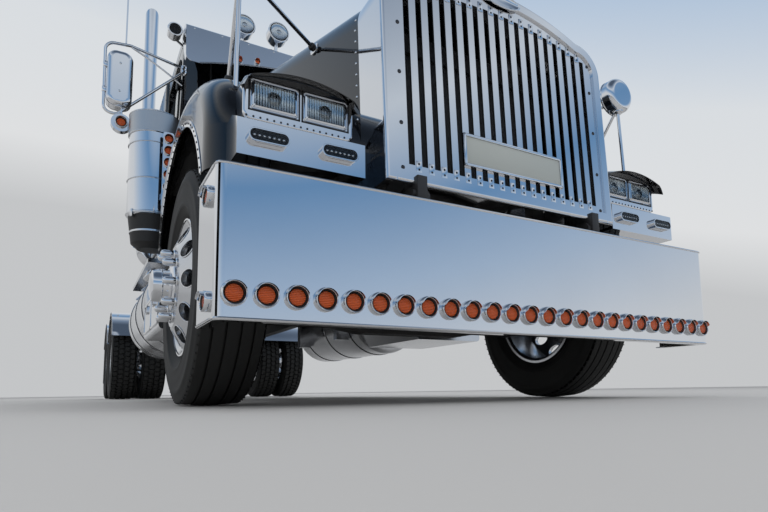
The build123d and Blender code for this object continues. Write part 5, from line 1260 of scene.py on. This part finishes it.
print("  fuel tanks and steps")
tank = {
    "x": 0.835, "height": 0.72, "radius": 0.33, "ends": ((2.68, toFront), (4.15, toRear)),
    "bands": (2.9, 3.415, 3.93), "boltOut": 0.246, "capBack": 2.8, "capAngle": math.radians(38),
}
radius, bandSpots, endSpots, boltSpots = tank["radius"], [], [], []
for distance in tank["bands"]:
    bandSpots.append(spot((tank["x"], back(distance), tank["height"]), toRear))
    boltPlace = (tank["x"] + tank["boltOut"], back(distance), tank["height"] + tank["boltOut"])
    boltSpots.append(spot(boltPlace, (-1, 0, 1)))
for distance, direction in tank["ends"]:
    endSpots.append(spot((tank["x"], back(distance), tank["height"]), direction))
outward = Vector((math.cos(tank["capAngle"]), 0, math.sin(tank["capAngle"])))
capPlace = Vector((tank["x"], back(tank["capBack"]), tank["height"])) + outward * radius
end = [(0.286, 0), (0.262, 0.004), (0.25, 0.001), (0.236, 0.005), (0.12, 0.013), (0.001, 0.015)]
cap = [(0.052, -0.01), (0.052, 0.018), (0.058, 0.02), (0.058, 0.046), (0.05, 0.054), (0.001, 0.056)]
straps = [
    copied(ring(radius - 0.002, radius + 0.006, -0.03, 0.03, 96, 0.002), bandSpots),
    copied(turned([(0.009, -0.06), (0.009, 0.06)], 12, 30), boltSpots),
    copied(turned(end, 72, 40), endSpots),
    moved(turned(cap, 36, 30), capPlace, outward),
    moved(boxed((-0.048, -0.007, 0.054), (0.048, 0.007, 0.068), 0.004), capPlace, outward),
]
kept(twinned(straps), "tankStraps", "polishedAlloy")
cushions = copied(ring(radius - 0.002, radius + 0.003, -0.036, 0.036, 96, 0.001), bandSpots)
kept(twinned([cushions]), "tankCushions", "blackRubber")

steps = {
    "treads": (
        # inner x, outer x, front, rear, height
        (0.807, 1.133, 2.775, 4.055, 1.062), (0.972, 1.137, 1.81, 2.58, 0.7), (0.64, 0.932, 1.81, 2.58, 0.95),
    ),
    "pitch": 0.034, "inset": 0.75, "boxOuter": 1.165, "lids": ((1.82, 2.185), (2.205, 2.57)), "lidTall": 0.2,
    "lidHeight": 0.565, "latchHeight": 0.615,
}


def treadSpots(left, right, front, rear, height, pitch, inset):  # bars that lean to either side in turn
    across, along = int((right - left) / pitch), int((rear - front) / pitch)
    xPitch, yPitch = (right - left) / (across + 2 * inset - 1), (rear - front) / (along + 2 * inset - 1)
    spots = []
    for i in range(across):
        for j in range(along):
            place = (left + (i + inset) * xPitch, back(front) + (j + inset) * yPitch, height)
            spots.append(spot(place, upwards, math.pi / 4 if (i + j) % 2 else -math.pi / 4))
    return spots


plates, barSpots = [], []
for left, right, front, rear, height in steps["treads"]:
    plates.append(boxed((left, back(front), height - 0.0005), (right, back(rear), height + 0.0025), 0.001, 1))
    barSpots += treadSpots(left, right, front, rear, height + 0.0024, steps["pitch"], steps["inset"])
bar = settled(turned([(0.0028, 0), (0.0022, 0.0016), (0.0008, 0.0022)], 6, 60), Matrix.Diagonal((4.2, 1, 1, 1)))
kept(twinned(plates + [copied(bar, barSpots)]), "stepTreads", "alloy")
lids = []
for front, rear in steps["lids"]:
    middle = back((front + rear) / 2)
    lid = panelled(rear - front, steps["lidTall"], 0.006, 0.02, 0.01, 0.003)
    lids.append(settled(lid, onWall((steps["boxOuter"] - 0.0005, middle, steps["lidHeight"]), 1)))
    latch = panelled(0.075, 0.055, 0.01, 0.01, 0.006, 0.006)
    lids.append(settled(latch, onWall((steps["boxOuter"] + 0.004, middle, steps["latchHeight"]), 1)))
kept(twinned(lids), "stepBoxLids", "polishedAlloy")

print("  rear fenders, flaps and tail lamps")
rearFender = {
    "backs": (6.37, 7.69), "height": 0.52, "radius": 0.6, "beadXs": (0.594, 1.226), "arc": (26, 154),
    "steps": 41, "boltXs": (0.66, 0.91, 1.16), "boltAngles": (62, 118),
}
beads, washerSpots = [], []
for distance in rearFender["backs"]:
    middle, reach = Vector((0, back(distance), rearFender["height"])), rearFender["radius"]
    for x in rearFender["beadXs"]:
        line = []
        for angle in between(*rearFender["arc"], rearFender["steps"]):
            outward = Vector((0, math.cos(math.radians(angle)), math.sin(math.radians(angle))))
            line.append(middle + outward * (reach - 0.002) + Vector((x, 0, 0)))
        beads.append(piped(line, 0.0055, 8))
    for angle in rearFender["boltAngles"]:
        outward = Vector((0, math.cos(math.radians(angle)), math.sin(math.radians(angle))))
        for x in rearFender["boltXs"]:
            washerSpots.append(spot(middle + outward * (reach - 0.0005) + Vector((x, 0, 0)), outward))
kept(twinned(beads), "rearFenderBeads", "chrome")
washer = turned([(0.013, 0), (0.013, 0.002), (0.0085, 0.003), (0.0085, 0.007), (0.006, 0.009)], 20, 30)
kept(twinned([copied(washer, washerSpots)]), "rearFenderBolts", "chrome")

flap = {
    "xs": (0.606, 1.21), "low": 0.25, "high": 0.94, "bolts": 7, "boltInset": 0.03,
    "weight": 0.055, "holder": 0.05,
}
(left, right), low, high = flap["xs"], flap["low"], flap["high"]
face = struck("mud_flaps", (0.9, back(9), 0.5), toFront)[0].y
fasteners = [
    spot((x, face + 0.0038, height), toRear)
    for x in between(left + flap["boltInset"], right - flap["boltInset"], flap["bolts"])
    for height in (low + 0.028, high - 0.025)
]
flapPieces = [
    boxed((left, face - 0.0015, low), (right, face + 0.004, low + flap["weight"]), 0.003),
    boxed((left, face - 0.0015, high - flap["holder"]), (right, face + 0.004, high), 0.002),
    copied(dome(0.008, 0.004, 12), fasteners),
]
kept(twinned(flapPieces), "flapWeights", "polishedAlloy")

tail = {
    "lampXs": (0.15, 0.265, 0.38), "height": 0.8, "half": 0.432, "low": 0.725, "high": 0.875, "deep": 0.012,
    "boltXs": (-0.41, -0.2, 0, 0.2, 0.41), "boltHeights": (0.745, 0.855), "rings": (0.036, 0.026, 0.016),
}
face = struck("tail_lights", (0.05, back(9), tail["height"]), toFront)[0].y
rims, lenses = [], []
for x in tail["lampXs"]:
    foot = (x, face, tail["height"])
    high = struck("tail_lights", (x, back(9), tail["height"]), toFront)[0].y - face
    rims.append(moved(ring(0.0475, 0.054, 0, high, 40, 0.0022), foot, toRear))
    lens = [(0.0465, high - 0.004), (0.046, high - 0.0012), (0.04, high - 0.0004), (0.001, high)]
    lenses.append(moved(turned(lens, 40, 30), foot, toRear))
    for radius in tail["rings"]:
        mark = ring(radius - 0.0015, radius + 0.0015, high - 0.0014, high - 0.0001, 32, 0.0006)
        lenses.append(moved(mark, foot, toRear))
backing = boxed((-tail["half"], face - tail["deep"], tail["low"]), (tail["half"], face, tail["high"]), 0.003)
kept(backing, "tailPanel", "polishedAlloy", instead=("tail_lights",))
boltSpots = [spot((x, face - 0.0002, height), toRear) for x in tail["boltXs"] for height in tail["boltHeights"]]
kept(copied(dome(0.007, 0.0035, 12), boltSpots), "tailPanelBolts", "chrome")
kept(twinned(rims), "tailLampRims", "chrome")
kept(twinned(lenses), "tailLampLenses", "redLens")

print("  frame bolts and deck tread")
frameBolts = {
    "rail": 0.432, "backs": (0.4, 0.6, 3.05, 4.7, 5.7, 6.37, 7.03, 7.69, 8.2), "shift": 0.045,
    "heights": (0.775, 0.83, 0.92, 0.975),
    "head": ((0.0155, 0), (0.0155, 0.0015), (0.0115, 0.0016), (0.0115, 0.0085), (0.0095, 0.01), (0.001, 0.01)),
}
boltSpots = []
for distance in frameBolts["backs"]:
    for height in frameBolts["heights"]:
        for y in (back(distance - frameBolts["shift"]), back(distance + frameBolts["shift"])):
            for side in (1, -1):
                place, normal = struck("chassis_frame", (side * 0.6, y, height), (-side, 0, 0))
                if abs(abs(place.x) - frameBolts["rail"]) < 0.002:
                    boltSpots.append(spot(place, normal))
kept(copied(turned(frameBolts["head"], 6, 20), boltSpots), "frameBolts", "castIron")
deck = {"plan": (-0.42, 0.42, 4.292, 5.338), "pitch": 0.036, "inset": 0.5}
deckTop = struck("deck_plate", (0.1, back(4.8), 2), (0, 0, -1))[0].z
bar = settled(turned([(0.0028, 0), (0.0022, 0.0014), (0.0008, 0.0019)], 6, 60), Matrix.Diagonal((4.4, 1, 1, 1)))
barSpots = treadSpots(*deck["plan"], deckTop - 0.0002, deck["pitch"], deck["inset"])
kept(copied(bar, barSpots), "deckTread", "alloy")

print("  coupling fittings")
coupling = {
    "boltBacks": (6.66, 6.8, 7.1, 7.24), "boltXs": (0.4, 0.3), "flangeTop": 1.06,
    "head": ((0.02, 0), (0.02, 0.003), (0.0145, 0.0032), (0.0145, 0.015), (0.012, 0.017), (0.001, 0.017)),
    # x, distance back and height of the pull's bends
    "pull": ((0.33, 7.02, 1.16), (0.48, 7.02, 1.156), (0.545, 7.02, 1.152),
             (0.556, 7.045, 1.15), (0.545, 7.07, 1.15), (0.5, 7.07, 1.152)),
}
boltSpots = []
for distance in coupling["boltBacks"]:
    for side in (1, -1):
        for x in coupling["boltXs"]:
            place, _ = struck("fifth_wheel_base", (side * x, back(distance), 1.1), (0, 0, -1))
            if place.z < coupling["flangeTop"]:
                boltSpots.append(spot(place))
kept(copied(turned(coupling["head"], 6, 20), boltSpots), "couplingBolts", "castIron")
pull = [(x, back(distance), height) for x, distance, height in coupling["pull"]]
kept(piped(pull, 0.0075, 10), "couplingPull", "castIron", "fifth_wheel")

print("  padded seats")
seat = {
    "x": 0.48, "half": 0.25, "front": 2.8, "floor": 1.22, "cap": 0.012, "voxel": 0.008, "moments": 15,
    "cushion": (0.02, 0.345, 0.3, 0.445),  # from the front, to the back, lowest, highest
    "backFoot": (0.285, 0.455), "backHead": (0.345, 0.975), "backDeep": 0.085,
    "padEdge": 0.022, "corner": 0.16, "channels": 5, "channelReach": 0.36, "channelDeep": 0.009,
    "shell": (
        # half width, front, rear, foot, top, edge
        (0.2, 0.05, 0.35, 0.004, 0.03, 0.006), (0.15, 0.09, 0.31, 0.03, 0.255, 0.02),
        (0.225, 0.03, 0.36, 0.255, 0.302, 0.012), (0.215, 0.34, 0.372, 0.275, 0.6, 0.01),
    ),
    "armOut": 0.248, "armHalf": 0.02,
}


def puffed(piece):  # swells a closed form as stuffing does, by no more than the cap
    chosen(piece)
    applied(piece, "REMESH", mode="VOXEL", voxel_size=seat["voxel"])
    start = [vertex.co.copy() for vertex in piece.data.vertices]
    cloth = piece.modifiers.new("stuffing", "CLOTH")
    cloth.settings.use_pressure = True
    cloth.settings.uniform_pressure_force = 4
    cloth.settings.effector_weights.gravity = 0
    for moment in range(seat["moments"]):
        scene.frame_set(moment + 1)
    bpy.ops.object.modifier_apply(modifier=cloth.name)
    for vertex, first in zip(piece.data.vertices, start):
        move = vertex.co - first
        if move.length > seat["cap"]:
            vertex.co = first + move * (seat["cap"] / move.length)
    scene.frame_set(1)
    applied(piece, "SMOOTH", factor=0.5, iterations=6)
    bpy.ops.object.shade_smooth()
    return piece


def cushionBlock(wide, deep, tall, crown):  # a crowned pad with sewn channels along its depth
    clearSelection()
    bpy.ops.mesh.primitive_grid_add(x_subdivisions=60, y_subdivisions=48, size=1)
    pad, height = bpy.context.object, tall - seat["padEdge"]
    corner, reach = seat["corner"], seat["channelReach"]
    for vertex in pad.data.vertices:
        x, y = vertex.co.x, vertex.co.y
        fall, groove = (1 - (2 * abs(x)) ** 4) * (1 - (2 * abs(y)) ** 4), 0
        if abs(x) < reach and abs(y) < 0.42:
            wave = abs(math.cos(math.pi * seat["channels"] * (x + reach) / (2 * reach)))
            groove = seat["channelDeep"] * max(0, 1 - wave * 4)
        side = 0.5 - corner
        ax, ay = max(abs(x) - side, 0) / corner, max(abs(y) - side, 0) / corner
        past = math.sqrt(ax * ax + ay * ay)
        if past > 1:
            vertex.co.x = math.copysign(side + corner * ax / past, x)
            vertex.co.y = math.copysign(side + corner * ay / past, y)
        vertex.co.x *= wide
        vertex.co.y *= deep
        vertex.co.z = height + crown * fall - groove
    openEdit()
    bpy.ops.mesh.extrude_region_move(TRANSFORM_OT_translate={"value": (0, 0, -height)})
    bpy.ops.mesh.select_all(action="SELECT")
    bpy.ops.mesh.normals_make_consistent(inside=False)
    closeEdit()
    for vertex in pad.data.vertices:
        if vertex.co.z < 0.2 * tall:
            vertex.co.z = 0
    return settled(pad)


def inSeat(x, distance, height):  # a point this far behind the seat's front and over the floor
    return Vector((x, back(seat["front"] + distance), seat["floor"] + height))


def seatPad(x):
    near, far, low, high = seat["cushion"]
    pad = cushionBlock(2 * seat["half"] - 0.036, far - near, high - low - 0.01, 0.02)
    return settled(pad, Matrix.Translation(inSeat(x, (near + far) / 2, low)))


def seatRest(x):
    (footBack, footHigh), (headBack, headHigh) = seat["backFoot"], seat["backHead"]
    rise = Vector((0, headBack - footBack, headHigh - footHigh))
    upright = rise.normalized()
    facing = Vector((0, -upright.z, upright.y))
    rest = cushionBlock(2 * seat["half"] - 0.04, rise.length, seat["backDeep"], 0.018)
    middle = inSeat(x, footBack, footHigh) + rise / 2 - facing * (seat["backDeep"] - 0.03)
    basis = Matrix((upright.cross(facing), upright, facing)).transposed().to_4x4()
    return settled(rest, Matrix.Translation(middle) @ basis)


shells = []
for word, side in hands:
    x = side * seat["x"]
    for maker, label in ((seatPad, "Cushion"), (seatRest, "Backrest")):
        kept(puffed(maker(x)), f"seat{label}{word}", "seatLeather")
    for half, front, rear, foot, top, edge in seat["shell"]:
        shells.append(boxed(inSeat(x - half, front, foot), inSeat(x + half, rear, top), edge))
    for arm in (x - seat["armOut"], x + seat["armOut"]):
        low, high = inSeat(arm - seat["armHalf"], 0.15, 0.56), inSeat(arm + seat["armHalf"], 0.385, 0.6)
        shells.append(boxed(low, high, 0.014, 3))
kept(shells, "seatFrames", "cabTrim", instead=("seats",))

print("  dashboard and cab inside")
dash = {
    "lookFrom": 3.2,
    "gauges": (
        # x, height, radius
        (0.405, 1.905, 0.043), (0.555, 1.905, 0.043),
        *((x, height, 0.025) for x in (0.315, 0.645, 0.21, 0.14, 0.07) for height in (1.935, 1.87)),
    ),
    "ticks": 11, "tickStart": 225, "tickStep": 27, "needleTurn": 210,
    "switchXs": between(0.06, 0.27, 8), "switchHeight": 1.825,
    "panels": (
        # x, height, width, height of the panel
        (-0.48, 1.89, 0.42, 0.13), (0.14, 1.903, 0.24, 0.15), (0.48, 1.903, 0.4, 0.15),
    ),
    "vents": (-0.16, -0.78, 0.77), "ventHeight": 1.93, "ventRadius": 0.03,
    "slats": (-0.018, -0.006, 0.006, 0.018),
}


def onDash(x, height):
    return struck("dashboard", (x, back(dash["lookFrom"]), height), toFront)


rims, faces, needles = [], [], []
for x, height, radius in dash["gauges"]:
    flat = spot(*onDash(x, height))
    rims.append(settled(ring(radius - 0.003, radius, -0.001, 0.006, 32, 0.0015), flat))
    disc = turned([(radius - 0.0025, 0), (radius - 0.0025, 0.0012), (0.001, 0.0012)], 32)
    faces.append(settled(disc, flat))
    angles = [math.radians(dash["tickStart"] - dash["tickStep"] * tick) for tick in range(dash["ticks"])]
    mark = boxed((radius * 0.74, -0.0006, 0.0011), (radius * 0.9, 0.0006, 0.0017), 0.0002, 1)
    needles.append(copied(mark, [flat @ Matrix.Rotation(angle, 4, "Z") for angle in angles]))
    needle = boxed((-0.15 * radius, -0.0009, 0.0022), (0.72 * radius, 0.0009, 0.003), 0.0003, 1)
    needles.append(settled(needle, flat @ Matrix.Rotation(math.radians(dash["needleTurn"]), 4, "Z")))
switch = turned([(0.008, 0), (0.008, 0.003), (0.003, 0.004), (0.0034, 0.02), (0.001, 0.021)], 12, 40)
rims.append(copied(switch, [spot(*onDash(x, dash["switchHeight"])) for x in dash["switchXs"]]))
kept(rims, "gaugeRims", "chrome")
kept(faces, "gaugeFaces", "blackRubber")
kept(needles, "gaugeNeedles", "gaugeWhite")
panels = []
for x, height, wide, tall in dash["panels"]:
    place, normal = onDash(x, height)
    panels.append(moved(panelled(wide, tall, 0.004, 0.014, 0.006, 0.002), place - normal * 0.003, normal))
kept(panels, "dashPanels", "satinBlack")
radius = dash["ventRadius"]
vent = [ring(radius, radius + 0.004, -0.001, 0.008, 28, 0.0015)]
for slat in dash["slats"]:
    half = math.sqrt(radius**2 - slat**2)
    vent.append(boxed((-half, slat - 0.0035, 0.0005), (half, slat + 0.0035, 0.004), 0.0008, 1))
ventSpots = [spot(*onDash(x, dash["ventHeight"])) for x in dash["vents"]]
kept(copied(joined(vent), ventSpots), "dashVents", "satinBlack")

cabin = {
    "floor": 1.22, "lever": (0.06, 2.72), "knob": (0.11, 2.8, 1.76),  # x, distance back and height
    "pedals": (0.35, 0.48, 0.6),
    "mat": (0.86, 2.36, 3.24),  # half width, front and rear
}
(leverX, leverBack), (knobX, knobBack, knobHigh), floor = cabin["lever"], cabin["knob"], cabin["floor"]
lever = [
    (leverX, back(leverBack), floor + 0.004), (leverX, back(leverBack) - 0.01, floor + 0.16),
    (leverX + 0.02, back(leverBack) + 0.02, floor + 0.34), (knobX, back(knobBack), knobHigh),
]
kept(piped(lever, 0.0085, 12), "gearLever", "chrome")
knob = [(0.012, -0.012), (0.024, 0.004), (0.027, 0.02), (0.022, 0.04), (0.01, 0.048), (0.001, 0.049)]
boot = [
    (0.075, 0), (0.072, 0.012), (0.052, 0.03), (0.056, 0.038), (0.038, 0.06), (0.042, 0.067), (0.022, 0.095),
    (0.011, 0.11),
]
soft = [
    moved(turned(knob, 24, 60), (knobX, back(knobBack), knobHigh)),
    moved(turned(boot, 28, 60), (leverX, back(leverBack), floor + 0.002)),
]
for x in cabin["pedals"]:
    tread = boxed((-0.032, -0.048, -0.005), (0.032, 0.048, 0.005), 0.004)
    soft.append(moved(tread, (x, back(2.43), floor + 0.15), (0, 0.8, 0.6)))
    bends = ((2.425, 0.148), (2.36, 0.24), (2.34, 0.42))
    soft.append(piped([(x, back(distance), floor + rise) for distance, rise in bends], 0.008, 8))
half, front, rear = cabin["mat"]
soft.append(boxed((-half, back(front), floor + 0.0005), (half, back(rear), floor + 0.0045), 0.002, 1))
kept(soft, "cabRubber", "blackRubber")

print("  door linings")
liningAndShadeStrip = {
    "front": 2.54, "rear": 3.2, "low": 1.262, "high": 2.05,
    "rest": (2.7, 3.1, 1.78),  # front, rear and top
    "crank": (2.93, 1.64, 0.075),  # distance back, height and length
    # how far in from the door, distance back and height
    "pull": ((0, 2.62, 1.9), (0.03, 2.625, 1.9), (0.032, 2.7, 1.902), (0.02, 2.735, 1.902)),
}
front, rear, low, high = (liningAndShadeStrip[key] for key in ("front", "rear", "low", "high"))
for word, side in hands:
    door, body = f"door_{word.lower()}", f"{word.lower()}_door"
    place, normal = struck(door, (side * 0.5, back((front + rear) / 2), (low + high) / 2), (side, 0, 0))
    board = panelled(rear - front, high - low, 0.008, 0.05, 0.03, 0.003)
    restFront, restRear, restHigh = liningAndShadeStrip["rest"]
    restLow = (place.x, back(restFront), restHigh - 0.045)
    rest = boxed(restLow, (place.x - side * 0.055, back(restRear), restHigh), 0.014, 3)
    kept([settled(board, onWall(place - normal * 0.0005, -side)), rest], f"doorLining{word}", "cabTrim", body)
    pull = [(place.x - side * inward, back(distance), height) for inward, distance, height in liningAndShadeStrip["pull"]]
    distance, height, length = liningAndShadeStrip["crank"]
    crank = turned([(0.018, 0), (0.018, 0.01), (0.012, 0.014), (0.001, 0.014)], 20, 30)
    tip = (place.x - side * 0.03, back(distance - length), height - 0.05)
    arm = [(place.x - side * 0.016, back(distance), height), tip]
    bright = [
        piped(pull, 0.0065, 10),
        moved(crank, (place.x - side * 0.006, back(distance), height), (-side, 0, 0)),
        piped(arm, 0.0055, 8, round=False),
    ]
    kept(bright, f"doorPulls{word}", "chrome", body)

print("  hinge covers under the grille")
hinge = {"low": (0.4485, 0.0365, 0.7655), "high": (0.4915, 0.1315, 0.8515)}  # x, distance back and height
low, high = ((x, back(distance), height) for x, distance, height in (hinge["low"], hinge["high"]))
kept(twinned([boxed(low, high, 0.0015)]), "hingeCovers", "satinBlack", "hood")

print("  blank badge on the grille's crown")
badge = {"rise": 0.952, "wide": 0.215, "tall": 0.07}
emblem = turned([(0.5, 0), (0.5, 0.004), (0.475, 0.006), (0.44, 0.0045), (0.43, 0.003), (0.001, 0.005)], 56, 30)
settled(emblem, Matrix.Diagonal((badge["wide"], badge["tall"], 1, 1)))
kept(settled(emblem, grilleSpot(0, badge["rise"], -0.0005)), "crownBadge", "chrome", "hood")
